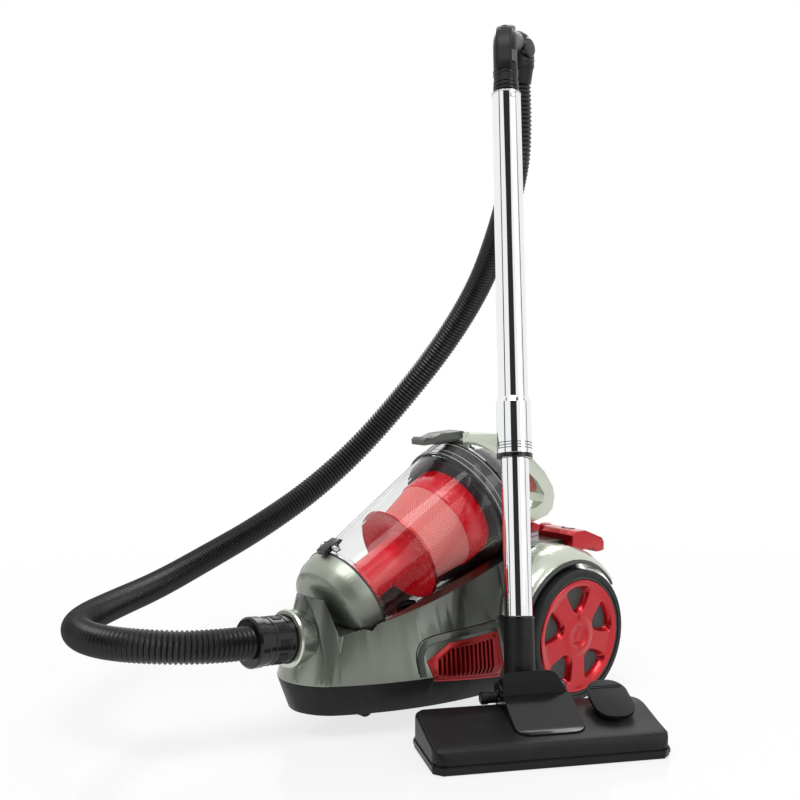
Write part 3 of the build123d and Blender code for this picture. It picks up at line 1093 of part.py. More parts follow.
FOOT_PEDAL_X = 85.0        # middle of the pedal along the head
FOOT_PEDAL_W = 46.0
FOOT_PEDAL_L = 62.0
FOOT_PEDAL_T = 5.0
FOOT_PEDAL_ROUND = 20.0
FOOT_PEDAL_Y = 11.0        # middle of its underside
FOOT_PEDAL_Z = 44.4
FOOT_PEDAL_TILT = 22.0     # degrees that it slopes to the front
FOOT_PIN_Y = 14.0
FOOT_PIN_Z = 41.4
FOOT_PIN_R = 1.6
FOOT_KNUCKLE_R = 3.2
FOOT_KNUCKLE_HALF_W = 10.0
POST_IN, POST_OUT = 10.4, 14.0
with BuildPart() as head_cover:
    add(HEAD)
    add(head_solid(HEAD_WALL), mode=Mode.SUBTRACT)
    add(head_box(-HEAD_W, HEAD_W, -HEAD_D, HEAD_D, -1, SOLE_T + GAP / 2), mode=Mode.SUBTRACT)
    for x in (FOOT_PEDAL_X - POST_OUT, FOOT_PEDAL_X + POST_IN):
        add(head_prism(((FOOT_PIN_Y - 6, 34), (FOOT_PIN_Y - 5, 41), (FOOT_PIN_Y - 2, 44),
                        (FOOT_PIN_Y + 3, 44.2), (FOOT_PIN_Y + 6, 41), (FOOT_PIN_Y + 6, 35)),
                       x, x + POST_OUT - POST_IN))
    add(head_bar(FOOT_PIN_R, FOOT_PIN_Y, FOOT_PIN_Z, FOOT_PEDAL_X - POST_OUT, FOOT_PEDAL_X + POST_OUT),
        mode=Mode.SUBTRACT)
    add(along_neck(DRUM_R + GAP, DRUM_0 - GAP, DRUM_1 + GAP), mode=Mode.SUBTRACT)
write(head_cover, "head_cover")

with BuildPart() as head_saddle:
    add(head_prism(((-20, 29.5), (-18, 31), (26, 52), (30, 54), (34, 54), (44, 34), (22, 34)),
                   SADDLE_0 - CHEEK_T, SADDLE_1 + CHEEK_T))
    for near, far in ((SADDLE_0 - CHEEK_T, SADDLE_0), (SADDLE_1, SADDLE_1 + CHEEK_T)):
        add(head_prism(((24, 36), (34, 57), (41, 61), (54, 61), (60, 55), (60, 45), (54, 36)), near, far))
    add(HEAD, mode=Mode.SUBTRACT)
    add(along_neck(DRUM_R + GAP, DRUM_0 - GAP, DRUM_1 + GAP), mode=Mode.SUBTRACT)
    add(along_neck(NECK_PIN_R, -HEAD_W, HEAD_W), mode=Mode.SUBTRACT)
    add(turned(WAND_SIDE, ((0, 0), (SOCKET_R + 1, 0), (SOCKET_R + 1, SOCKET_TOP), (0, SOCKET_TOP))).part,
        mode=Mode.SUBTRACT)
write(head_saddle, "head_saddle")

tilt = radians(FOOT_PEDAL_TILT)
uphill = Vector(0, 0, cos(tilt)) - HEAD_PLANE.y_dir * sin(tilt)
PAD_PLANE = Plane(origin=on_head(FOOT_PEDAL_X, FOOT_PEDAL_Y, FOOT_PEDAL_Z), x_dir=NECK_DIR, z_dir=uphill)
with BuildPart() as foot_pedal:
    with BuildSketch(PAD_PLANE):
        RectangleRounded(FOOT_PEDAL_W, FOOT_PEDAL_L, FOOT_PEDAL_ROUND)
    extrude(amount=FOOT_PEDAL_T)
    knuckle_from, knuckle_to = FOOT_PEDAL_X - FOOT_KNUCKLE_HALF_W, FOOT_PEDAL_X + FOOT_KNUCKLE_HALF_W
    add(head_prism(((FOOT_PIN_Y - 2.5, FOOT_PIN_Z), (FOOT_PIN_Y - 2.5, FOOT_PEDAL_Z + 2),
                    (FOOT_PIN_Y + 2.5, FOOT_PEDAL_Z + 3), (FOOT_PIN_Y + 2.5, FOOT_PIN_Z)),
                   knuckle_from, knuckle_to))
    add(head_bar(FOOT_KNUCKLE_R, FOOT_PIN_Y, FOOT_PIN_Z, knuckle_from, knuckle_to))
    add(head_bar(FOOT_PIN_R + RUN_FIT, FOOT_PIN_Y, FOOT_PIN_Z, knuckle_from - 1, knuckle_to + 1),
        mode=Mode.SUBTRACT)
write(foot_pedal, "foot_pedal")

with BuildPart() as bristle_strips:
    for y in STRIPS:
        add(head_box(-STRIP_HALF_W, STRIP_HALF_W, y - STRIP_T / 2, y + STRIP_T / 2, STRIP_Z0, STRIP_Z1))
write(bristle_strips, "bristle_strips")

with BuildPart() as head_rollers:
    for x in (-ROLLER_X, ROLLER_X):
        add(head_bar(ROLLER_R, ROLLER_Y, ROLLER_R, x - ROLLER_W / 2, x + ROLLER_W / 2))
    add(head_bar(ROLLER_PIN_R + RUN_FIT, ROLLER_Y, ROLLER_R, -HEAD_W, HEAD_W), mode=Mode.SUBTRACT)
write(head_rollers, "head_rollers")

with BuildPart() as head_pins:
    add(along_neck(NECK_PIN_R, DRUM_0 - GAP - CHEEK_T - 1, DRUM_1 + GAP + CHEEK_T + 1))
    add(head_bar(FOOT_PIN_R, FOOT_PIN_Y, FOOT_PIN_Z, FOOT_PEDAL_X - POST_OUT, FOOT_PEDAL_X + POST_OUT))
    for x in (-ROLLER_X, ROLLER_X):
        add(head_bar(ROLLER_PIN_R, ROLLER_Y, ROLLER_R, x - ROLLER_W / 2 - 4, x + ROLLER_W / 2 + 4))
write(head_pins, "head_pins")

# ============================== hose ==============================
HOSE_WALL = 3.0
BEND = 0.45                # share of the shorter run that each bend takes
HOSE_START = Vector(0, SPLIT_Y, INLET_Z) + Vector(*INLET_DIR) * (CUFF_L + COLLAR_L)
HOSE_END_AT = on_wand(*HOSE_END) + DROP_DIR * CUP_DROP
HOSE_ROUTE = (
    HOSE_START, HOSE_START + Vector(*INLET_DIR) * 52, (-36, -499, 122), (-96, -524, 120),
    (-160, -516, 117), (-222, -474, 112), (-285, -398, 107), (-340, -304, 108), (-376, -206, 126),
    (-394, -108, 153), (-394, -10, 198), (-377, 68, 258), (-342, 122, 330), (-283, 158, 416),
    (-213, 163, 502), (-150, 140, 576), (-100, 115, 641),
    HOSE_END_AT + DROP_DIR * 70, HOSE_END_AT)
HOSE_JOIN = 11             # the run at which the lower half of the hose ends


def bend_radii(route):
    """The largest even bend at each corner of a route."""
    radii = []
    for before, corner, after in zip(route, route[1:], route[2:]):
        arrive, leave = corner - before, after - corner
        turn = radians(arrive.get_angle(leave))
        radii.append(BEND * min(arrive.length, leave.length) / tan(turn / 2))
    return radii


route = [Vector(*point) for point in HOSE_ROUTE]
halfway = (route[HOSE_JOIN - 1] + route[HOSE_JOIN]) / 2
for name, points in (("hose_lower", route[:HOSE_JOIN] + [halfway]),
                     ("hose_upper", [halfway] + route[HOSE_JOIN:])):
    radii = bend_radii(points)
    with BuildPart() as hose:
        with BuildLine() as hose_line:
            FilletPolyline(*points, radius=radii)
        with BuildSketch(Plane(origin=points[0], z_dir=points[1] - points[0])):
            Circle(HOSE_D / 2)
            Circle(HOSE_D / 2 - HOSE_WALL, mode=Mode.SUBTRACT)
        sweep()
    section = pi * HOSE_WALL * (HOSE_D - HOSE_WALL)
    length = sum(edge.length for edge in hose_line.line.edges())
    print(name, "bend radii", [round(r) for r in radii], "length", round(length, 1),
          "volume ratio", round(hose.part.volume / (section * length), 4))
    write(hose, name)
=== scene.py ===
import json
import math

import bpy
from mathutils import Vector
from mathutils.bvhtree import BVHTree
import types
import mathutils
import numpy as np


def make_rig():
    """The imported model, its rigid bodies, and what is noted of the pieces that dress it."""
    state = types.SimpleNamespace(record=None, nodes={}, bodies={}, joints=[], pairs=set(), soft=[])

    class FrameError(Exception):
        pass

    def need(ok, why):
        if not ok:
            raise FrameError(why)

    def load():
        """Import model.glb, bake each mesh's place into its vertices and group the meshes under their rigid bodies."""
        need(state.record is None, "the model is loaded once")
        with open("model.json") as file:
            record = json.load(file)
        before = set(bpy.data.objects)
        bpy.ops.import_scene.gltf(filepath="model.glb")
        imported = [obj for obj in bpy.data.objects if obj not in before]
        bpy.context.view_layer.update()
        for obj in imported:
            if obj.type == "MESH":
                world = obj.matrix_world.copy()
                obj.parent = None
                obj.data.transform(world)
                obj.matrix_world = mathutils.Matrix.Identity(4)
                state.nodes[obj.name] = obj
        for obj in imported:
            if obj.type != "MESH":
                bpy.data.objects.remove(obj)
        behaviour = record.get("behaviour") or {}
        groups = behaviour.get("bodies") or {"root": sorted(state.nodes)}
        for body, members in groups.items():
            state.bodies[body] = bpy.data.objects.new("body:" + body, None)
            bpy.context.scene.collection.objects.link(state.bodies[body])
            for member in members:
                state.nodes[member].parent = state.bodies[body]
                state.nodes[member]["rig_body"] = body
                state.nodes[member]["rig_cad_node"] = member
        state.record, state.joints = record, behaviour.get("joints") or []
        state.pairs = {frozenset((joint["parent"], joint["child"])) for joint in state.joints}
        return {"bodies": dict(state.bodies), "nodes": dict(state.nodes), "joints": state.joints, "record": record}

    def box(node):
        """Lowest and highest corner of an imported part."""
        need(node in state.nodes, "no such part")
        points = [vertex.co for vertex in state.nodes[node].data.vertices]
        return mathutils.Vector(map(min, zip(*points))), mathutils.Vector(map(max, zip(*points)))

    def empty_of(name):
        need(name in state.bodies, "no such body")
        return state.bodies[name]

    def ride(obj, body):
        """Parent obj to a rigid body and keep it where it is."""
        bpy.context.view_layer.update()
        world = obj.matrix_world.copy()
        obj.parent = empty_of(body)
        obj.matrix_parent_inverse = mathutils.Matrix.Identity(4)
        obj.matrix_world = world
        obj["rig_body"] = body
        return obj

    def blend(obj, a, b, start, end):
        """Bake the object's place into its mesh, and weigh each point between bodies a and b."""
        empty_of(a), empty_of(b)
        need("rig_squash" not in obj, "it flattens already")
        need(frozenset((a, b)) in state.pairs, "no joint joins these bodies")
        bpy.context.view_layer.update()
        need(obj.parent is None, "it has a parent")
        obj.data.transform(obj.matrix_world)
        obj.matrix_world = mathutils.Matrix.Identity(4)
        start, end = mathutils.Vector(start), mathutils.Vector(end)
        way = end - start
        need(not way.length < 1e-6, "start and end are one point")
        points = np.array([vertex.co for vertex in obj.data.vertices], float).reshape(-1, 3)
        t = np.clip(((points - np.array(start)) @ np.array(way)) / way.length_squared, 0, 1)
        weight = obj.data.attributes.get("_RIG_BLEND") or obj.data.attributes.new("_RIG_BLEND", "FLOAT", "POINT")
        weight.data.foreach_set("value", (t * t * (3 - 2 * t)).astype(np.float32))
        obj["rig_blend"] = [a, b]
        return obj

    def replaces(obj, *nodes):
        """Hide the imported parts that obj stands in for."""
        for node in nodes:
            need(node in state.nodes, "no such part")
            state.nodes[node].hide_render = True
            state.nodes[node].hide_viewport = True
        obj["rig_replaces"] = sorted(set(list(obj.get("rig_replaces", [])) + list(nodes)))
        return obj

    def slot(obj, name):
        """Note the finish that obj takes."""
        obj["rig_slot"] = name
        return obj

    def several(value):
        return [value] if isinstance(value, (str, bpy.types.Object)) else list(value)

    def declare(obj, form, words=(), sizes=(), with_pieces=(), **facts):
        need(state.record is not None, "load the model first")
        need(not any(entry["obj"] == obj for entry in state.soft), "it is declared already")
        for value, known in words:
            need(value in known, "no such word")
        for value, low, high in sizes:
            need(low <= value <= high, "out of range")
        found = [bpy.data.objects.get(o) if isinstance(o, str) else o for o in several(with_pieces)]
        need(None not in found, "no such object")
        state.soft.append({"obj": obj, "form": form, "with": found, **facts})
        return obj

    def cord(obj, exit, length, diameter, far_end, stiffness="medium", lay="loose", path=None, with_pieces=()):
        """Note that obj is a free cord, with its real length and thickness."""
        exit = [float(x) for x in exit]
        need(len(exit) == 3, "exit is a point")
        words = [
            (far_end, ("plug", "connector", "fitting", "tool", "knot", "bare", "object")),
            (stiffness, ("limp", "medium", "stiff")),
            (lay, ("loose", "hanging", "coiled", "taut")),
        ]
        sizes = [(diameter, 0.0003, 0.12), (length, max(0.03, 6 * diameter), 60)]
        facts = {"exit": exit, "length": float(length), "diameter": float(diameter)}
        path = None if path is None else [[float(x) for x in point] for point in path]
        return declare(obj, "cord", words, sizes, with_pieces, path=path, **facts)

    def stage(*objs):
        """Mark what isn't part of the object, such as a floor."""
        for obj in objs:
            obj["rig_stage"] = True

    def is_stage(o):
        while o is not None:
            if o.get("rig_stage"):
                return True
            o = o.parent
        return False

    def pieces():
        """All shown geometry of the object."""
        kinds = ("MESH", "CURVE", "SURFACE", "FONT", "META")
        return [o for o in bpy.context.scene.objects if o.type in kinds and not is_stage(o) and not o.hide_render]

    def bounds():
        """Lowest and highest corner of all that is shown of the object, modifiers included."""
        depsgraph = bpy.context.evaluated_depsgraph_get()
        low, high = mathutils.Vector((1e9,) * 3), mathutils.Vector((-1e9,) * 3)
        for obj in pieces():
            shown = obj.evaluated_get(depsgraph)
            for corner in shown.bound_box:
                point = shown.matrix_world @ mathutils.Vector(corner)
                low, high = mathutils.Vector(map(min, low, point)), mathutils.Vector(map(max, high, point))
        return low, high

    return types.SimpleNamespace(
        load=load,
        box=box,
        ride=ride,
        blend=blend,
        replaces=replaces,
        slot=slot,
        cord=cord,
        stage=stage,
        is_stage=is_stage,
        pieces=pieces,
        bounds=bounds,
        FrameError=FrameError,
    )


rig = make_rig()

# Looks of a canister vacuum cleaner.  Lengths are metres in the row frame, but the shapes of the
# canister are given in millimetres about the point on the floor below the rear axle, and at()
# brings them into the row frame.
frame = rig.load()
cad_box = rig.bounds()
MM = 0.001
TAU = 2 * math.pi


def middle(node):
    """Centre of a CAD node's box."""
    low, high = (Vector(corner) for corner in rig.box(node))
    return (low + high) / 2


HOME = (middle("tyre_left") + middle("tyre_right")) / 2
HOME.z = 0


def at(x, y, z):
    """A point of the canister, given in millimetres from the floor below its axle."""
    return HOME + Vector((x, y, z)) * MM


# ---------- materials ----------
NOISE_SPAN = {"From_Min": 0.3, "From_Max": 0.7}        # most values of a noise lie between these


def shader(name, color, roughness, **extra):
    """A Principled material with its even values set on its own sockets."""
    material = bpy.data.materials.new(name)
    material.use_nodes = True
    sockets = surface(material)
    sockets["Base Color"].default_value = (*color, 1)
    sockets["Roughness"].default_value = roughness
    for key, value in extra.items():
        sockets[key.replace("_", " ")].default_value = value
    return material


def surface(material):
    """The sockets of a material's Principled shader."""
    return material.node_tree.nodes["Principled BSDF"].inputs


def node(owner, kind, **settings):
    """A new node of a material or a world, with its settings and default inputs."""
    made = owner.node_tree.nodes.new(kind)
    for key, value in settings.items():
        socket = key.replace("_", " ")
        if socket in made.inputs:
            made.inputs[socket].default_value = value
        else:
            setattr(made, key, value)
    return made


def join(owner, *pairs):
    """Links each pair of an output and an input."""
    for output, socket in pairs:
        owner.node_tree.links.new(output, socket)


def coords(material):
    """The rest position of each point, for textures that don't swim."""
    return node(material, "ShaderNodeTexCoord").outputs["Object"]


def noise(material, scale, detail):
    """A noise over the rest position of each point."""
    cloud = node(material, "ShaderNodeTexNoise", Scale=scale, Detail=detail)
    join(material, (coords(material), cloud.inputs["Vector"]))
    return cloud.outputs["Fac"]


def ramp(material, dark, light, dark_at=0.0, light_at=1.0, interpolation="LINEAR"):
    """A run of colour from dark to light."""
    made = node(material, "ShaderNodeValToRGB")
    made.color_ramp.interpolation = interpolation
    low, high = made.color_ramp.elements
    low.position, low.color = dark_at, (*dark, 1)
    high.position, high.color = light_at, (*light, 1)
    return made


def grain(material, scale, strength, distance=0.0002):
    """Fine moulded grain: a noise bump on the whole surface."""
    bump = node(material, "ShaderNodeBump", Strength=strength, Distance=distance)
    join(material, (noise(material, scale, 3.0), bump.inputs["Height"]),
         (bump.outputs["Normal"], surface(material)["Normal"]))
    return material


def vary(material, socket, scale, low, high):
    """Lets one value of the shader wander between low and high with a noise."""
    spread = node(material, "ShaderNodeMapRange", **NOISE_SPAN, To_Min=low, To_Max=high)
    join(material, (noise(material, scale, 4.0), spread.inputs["Value"]),
         (spread.outputs["Result"], surface(material)[socket]))
    return material


def tint(material, scale, dark, light):
    """Lets the colour wander between two close shades."""
    shades = ramp(material, dark, light, 0.35, 0.65)
    join(material, (noise(material, scale, 3.0), shades.inputs["Fac"]),
         (shades.outputs["Color"], surface(material)["Base Color"]))
    return material


def painted_light_along(material, direction, dark_at, light_at, dark, light):
    """Painted light and shade: the colour runs from dark to light along a direction, between two places in metres."""
    along = node(material, "ShaderNodeVectorMath", operation="DOT_PRODUCT")
    along.inputs[1].default_value = direction
    spread = node(material, "ShaderNodeMapRange", From_Min=dark_at, From_Max=light_at)
    speck = node(material, "ShaderNodeMapRange", **NOISE_SPAN, To_Min=-0.05, To_Max=0.05)
    both = node(material, "ShaderNodeMath", operation="ADD")
    shades = ramp(material, dark, light, interpolation="EASE")
    join(material, (coords(material), along.inputs[0]),
         (noise(material, 1800.0, 2.0), speck.inputs["Value"]),
         (along.outputs["Value"], spread.inputs["Value"]),
         (spread.outputs["Result"], both.inputs[0]),
         (speck.outputs["Result"], both.inputs[1]),
         (both.outputs["Value"], shades.inputs["Fac"]),
         (shades.outputs["Color"], surface(material)["Base Color"]))
    return material


def dotted(material, pitch, size, ground, dots):
    """Slanting rows of small dots, by the piece's own unrolled coordinates in metres."""
    flat = node(material, "ShaderNodeUVMap", uv_map="unrolled")
    scale = node(material, "ShaderNodeVectorMath", operation="SCALE", Scale=1 / pitch)
    turn = node(material, "ShaderNodeVectorRotate", rotation_type="Z_AXIS", Angle=TAU / 8)
    part = node(material, "ShaderNodeVectorMath", operation="FRACTION")
    centre = node(material, "ShaderNodeVectorMath", operation="DISTANCE")
    centre.inputs[1].default_value = (0.5, 0.5, 0)
    edge = node(material, "ShaderNodeMapRange", From_Min=size - 0.08, From_Max=size + 0.08, To_Min=1,
                To_Max=0)
    mix = node(material, "ShaderNodeMix", data_type="RGBA", A=(*ground, 1), B=(*dots, 1))
    join(material, (flat.outputs["UV"], scale.inputs[0]),
         (scale.outputs["Vector"], turn.inputs["Vector"]),
         (turn.outputs["Vector"], part.inputs[0]),
         (part.outputs["Vector"], centre.inputs[0]),
         (centre.outputs["Value"], edge.inputs["Value"]),
         (edge.outputs["Result"], mix.inputs["Factor"]),
         (mix.outputs["Result"], surface(material)["Base Color"]))
    return material


PAINT = {"Metallic": 0.75, "Coat_Weight": 0.35, "Coat_Roughness": 0.07}


def pearl_paints():
    """The silver paints of the shell, some with painted light and shade, from the pale handle to the painted shade of
    the step round the grilles.
    """
    def run(name, roughness, direction, dark_at, light_at, dark, light):
        return painted_light_along(shader(name, (0.2, 0.2, 0.2), roughness, **PAINT), direction, dark_at, light_at,
                           dark, light)

    def even(name, color, roughness, dark, light):
        return tint(shader(name, color, roughness, **PAINT), 2200, dark, light)
    return {
        # Painted light and shade: the shell is darker at its top under the bin and lighter at its lower front, the
        # floor cap lighter on its upper front, and the nose lighter low down as a painted highlight.
        "silver_shell": run("pearl_silver_shaded", 0.3, (-0.15, -0.35, -1.0), -0.14, -0.03,
                            (0.028, 0.031, 0.026), (0.17, 0.185, 0.155)),
        "silver_cap": run("pearl_cap_shaded", 0.38, (0, -0.5, 0.6), 0.11, 0.215,
                          (0.055, 0.06, 0.05), (0.34, 0.37, 0.31)),
        "silver_nose": run("pearl_nose_shaded", 0.28, (0.5, 0, 1.0), 0.12, 0.03,
                           (0.05, 0.055, 0.046), (0.25, 0.275, 0.23)),
        "silver_pale": even("pearl_pale", (0.42, 0.45, 0.38), 0.25, (0.56, 0.6, 0.5), (0.62, 0.66, 0.56)),
        "silver_dark": even("pearl_dark", (0.09, 0.095, 0.09), 0.3, (0.08, 0.087, 0.076),
                            (0.1, 0.108, 0.096)),
        # Painted shade: an even dark paint for the step round the grilles, where the shell's recess lies in shade.
        "silver_step_shade": even("pearl_step_shade", (0.05, 0.054, 0.048), 0.34, (0.03, 0.033, 0.028),
                            (0.04, 0.043, 0.037)),
    }


def reds():
    """The red paint of wheels and pedals, a shaded copy of it on the grilles as painted shade, and the cyclone's
    bright plastic with a painted glow.
    """
    paint_red = shader("red_metallic", (0.42, 0.01, 0.016), 0.3, Metallic=0.75, Coat_Weight=0.45,
                       Coat_Roughness=0.04)
    # Painted shade: a darker copy of the red paint, for the grilles and their frames.
    shadow = shader("red_shadow", (0.22, 0.003, 0.005), 0.32, Metallic=0.7, Coat_Weight=0.12,
                    Coat_Roughness=0.06)
    # Painted glow: the red plastic gives off a little red light of its own, though it is no lamp.
    moulded = shader("red_moulded_glow", (0.55, 0.004, 0.014), 0.25, Specular_IOR_Level=0.3, Coat_Weight=0.15,
                     Coat_Roughness=0.08, Emission_Color=(0.75, 0.0, 0.008, 1), Emission_Strength=0.22)
    # Painted glow: the cyclone's mesh gives off a little light of its own too.
    mesh = shader("red_mesh_glow", (0.5, 0.1, 0.1), 0.4, Specular_IOR_Level=0.2,
                  Emission_Color=(0.75, 0.22, 0.2, 1), Emission_Strength=0.2)
    return {
        "red_gloss": tint(paint_red, 1800, (0.44, 0.006, 0.012), (0.54, 0.010, 0.018)),
        "red_shaded": tint(shadow, 1800, (0.2, 0.002, 0.003), (0.25, 0.003, 0.005)),
        "red_clear_glow": tint(vary(moulded, "Roughness", 240, 0.2, 0.3), 40,
                          (0.42, 0.001, 0.008), (0.52, 0.002, 0.012)),
        "red_mesh_glow": dotted(vary(mesh, "Roughness", 300, 0.36, 0.5), 0.0026, 0.27,
                           (0.66, 0.16, 0.15), (0.3, 0.008, 0.012)),
    }


def blacks_and_greys():
    """The moulded and polished blacks, the black of painted shadow lines, the rubbers and the greys."""
    moulded = shader("black_moulded", (0.012, 0.012, 0.013), 0.42, Specular_IOR_Level=0.22)
    polished = shader("black_polished", (0.006, 0.006, 0.007), 0.22, Specular_IOR_Level=0.3,
                      Coat_Weight=0.2, Coat_Roughness=0.06)
    # Painted shadow: the black of the shadow lines at joints, slots and holes.
    line = shader("shadow_line", (0.004, 0.004, 0.004), 0.7, Specular_IOR_Level=0.1)
    core = shader("grey_moulded", (0.04, 0.042, 0.041), 0.5)
    dark_shell_painted_light = shader("dark_shell_painted_light", (0.03, 0.032, 0.03), 0.12, Metallic=0.3, Coat_Weight=1.0,
                        Coat_Roughness=0.03)
    tyre = shader("tyre_rubber", (0.014, 0.015, 0.015), 0.55, Specular_IOR_Level=0.3)
    fleece = shader("filter_fleece", (0.03, 0.03, 0.034), 0.9)
    hose = shader("hose_plastic", (0.006, 0.006, 0.0065), 0.32, Specular_IOR_Level=0.35)
    return {
        "black_plastic": grain(tint(moulded, 60, (0.006, 0.006, 0.0065), (0.009, 0.009, 0.0095)),
                               2600, 0.22),
        "black_gloss": vary(polished, "Roughness", 90, 0.16, 0.26),
        "painted_shadow": vary(line, "Roughness", 90, 0.6, 0.8),
        "core_grey": grain(vary(core, "Roughness", 200, 0.45, 0.6), 2400, 0.3),
        # Painted light: the bin head's dark shell is lighter towards its top and front.
        "dark_head": painted_light_along(dark_shell_painted_light, (0, -0.4, 1.0), 0.2, 0.33, (0.02, 0.021, 0.02),
                                 (0.06, 0.064, 0.058)),
        "tyre_rubber": grain(vary(tyre, "Roughness", 150, 0.48, 0.66), 1500, 0.35),
        "seal_rubber": grain(shader("seal_rubber", (0.01, 0.01, 0.012), 0.35), 1500, 0.2),
        "filter_foam": grain(tint(fleece, 500, (0.018, 0.018, 0.022), (0.03, 0.03, 0.036)),
                             900, 0.8, 0.0005),
        "hose_rubber": grain(vary(hose, "Roughness", 120, 0.26, 0.4), 1200, 0.15),
        "mid_grey": vary(shader("mid_grey", (0.07, 0.072, 0.07), 0.35), "Roughness", 200, 0.3, 0.42),
        "light_grey": vary(shader("light_grey", (0.42, 0.43, 0.42), 0.35), "Roughness", 200, 0.3, 0.42),
        "bristle": grain(shader("bristle", (0.02, 0.02, 0.02), 0.8), 3000, 0.9, 0.0006),
    }


def metals_and_clears():
    """Chrome, steel and the motor's paint, and the clear and smoked plastics."""
    chrome = shader("chrome_plate", (0.86, 0.87, 0.88), 0.035, Metallic=1.0)
    steel = shader("steel", (0.55, 0.55, 0.54), 0.3, Metallic=1.0)
    motor = shader("motor_paint", (0.1, 0.1, 0.11), 0.4, Metallic=0.3)
    clear = shader("clear_shell", (0.93, 0.94, 0.935), 0.02, Transmission_Weight=1.0, IOR=1.22)
    smoked = shader("smoked_shell", (0.2, 0.21, 0.2), 0.05, Transmission_Weight=0.75, IOR=1.42)
    return {
        "chrome_tube": vary(chrome, "Roughness", 40, 0.02, 0.05),
        "steel": vary(steel, "Roughness", 500, 0.22, 0.4),
        "motor_metal": vary(motor, "Roughness", 90, 0.35, 0.5),
        "clear_bin": vary(clear, "Roughness", 30, 0.01, 0.03),
        "smoked_head": vary(smoked, "Roughness", 40, 0.03, 0.08),
    }


MATERIALS = {**pearl_paints(), **reds(), **blacks_and_greys(), **metals_and_clears()}


def paint(obj, key):
    """Gives an object one material."""
    obj.data.materials.clear()
    obj.data.materials.append(MATERIALS[key])


# ---------- mesh helpers ----------
def smooth(mesh, angle=40):
    """Smooth shading, sharp only across edges that turn by more than angle."""
    mesh.shade_smooth()
    mesh.set_sharp_from_angle(angle=math.radians(angle))


def show(name, data):
    """A new object in the scene."""
    obj = bpy.data.objects.new(name, data)
    bpy.context.scene.collection.objects.link(obj)
    return obj


def add_mesh(name, verts, faces, material, body):
    """A new piece that rides on a body."""
    mesh = bpy.data.meshes.new(name)
    mesh.from_pydata([tuple(v) for v in verts], [], faces)
    mesh.update()
    obj = show(name, mesh)
    smooth(mesh)
    paint(obj, material)
    if body:
        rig.ride(obj, body)
    return obj


def ring_faces(rings, around):
    """The faces between closed rings of points, each ring with around points."""
    faces = []
    for r in range(rings - 1):
        for k in range(around):
            a, b = r * around + k, r * around + (k + 1) % around
            faces.append((a, b, b + around, a + around))
    return faces


UNROLLED_R = 52 * MM       # radius at which a turned piece is unrolled for its dots


def lathe(name, origin, axis, profile, material, body, steps=96, arc=None, zero=None):
    """A turned piece: (radius, height) points in millimetres about an axis from origin.

    An arc is given as two angles in degrees, counted from the zero direction."""
    axis = Vector(axis).normalized()
    side = Vector(zero).normalized() if zero else axis.orthogonal().normalized()
    other = axis.cross(side)
    first, last = (math.radians(a) for a in arc) if arc else (0, TAU)
    verts, faces, flat = [], [], []
    for k in range(steps + 1):
        turn = first + (last - first) * k / steps
        out = side * math.cos(turn) + other * math.sin(turn)
        verts += [origin + (out * r + axis * h) * MM for r, h in profile]
        flat += [(turn * UNROLLED_R, h * MM) for r, h in profile]
    n = len(profile)
    for k in range(steps):
        here, there = k * n, (k + 1) * n
        for i in range(n):
            j = (i + 1) % n
            faces.append((here + i, there + i, there + j, here + j))
    if arc:
        faces.append(tuple(range(n - 1, -1, -1)))
        faces.append(tuple(range(steps * n, (steps + 1) * n)))
    piece = add_mesh(name, verts, faces, material, body)
    layer = piece.data.uv_layers.new(name="unrolled")
    for loop in piece.data.loops:
        layer.data[loop.index].uv = flat[loop.vertex_index]


def sheet(name, rows, columns, top, under, material, body):
    """A curved plate: each row is (v, u from, u to), and top and under give its two faces."""
    verts, faces = [], []
    for face in (top, under):
        for v, near, far in rows:
            verts += [face(near + (far - near) * k / columns, v) for k in range(columns + 1)]
    wide, tall = columns + 1, len(rows)
    half = wide * tall
    for r in range(tall - 1):
        for k in range(columns):
            a = r * wide + k
            faces.append((a, a + 1, a + wide + 1, a + wide))
            faces.append((half + a, half + a + wide, half + a + wide + 1, half + a + 1))
    rim = list(range(wide)) + [r * wide + columns for r in range(1, tall)]
    rim += [(tall - 1) * wide + k for k in range(columns - 1, -1, -1)]
    rim += [r * wide for r in range(tall - 2, 0, -1)]
    for a, b in zip(rim, rim[1:] + rim[:1]):
        faces.append((a, half + a, half + b, b))
    add_mesh(name, verts, faces, material, body)


def curved(line, reach):
    """The same line with its corners cut round, each cut at most reach long at first."""
    for _ in range(3):
        cut = [line[0]]
        for a, b in zip(line, line[1:]):
            share = min(0.25, reach / max((b - a).length, 1e-6))
            cut += [a.lerp(b, share), b.lerp(a, share)]
        line = cut + [line[-1]]
    return line


def height_at(profile, x):
    """Height of a profile of (x, height) points at x."""
    for (x0, h0), (x1, h1) in zip(profile, profile[1:]):
        if x <= x1:
            return h0 + (h1 - h0) * (x - x0) / max(x1 - x0, 1e-6)
    return profile[-1][1]


def tree_of(name):
    """The surface of a CAD node, for laying lines on it."""
    piece = frame["nodes"][name]
    points = [piece.matrix_world @ v.co for v in piece.data.vertices]
    return BVHTree.FromPolygons(points, [tuple(p.vertices) for p in piece.data.polygons])


LINE_STEP = 2.0 * MM       # between two places of a ribbon
LINE_START = 0.15          # from where its places are dropped, ahead of the surface
LINE_JUMP = 12 * MM        # a longer step of the surface parts the ribbon


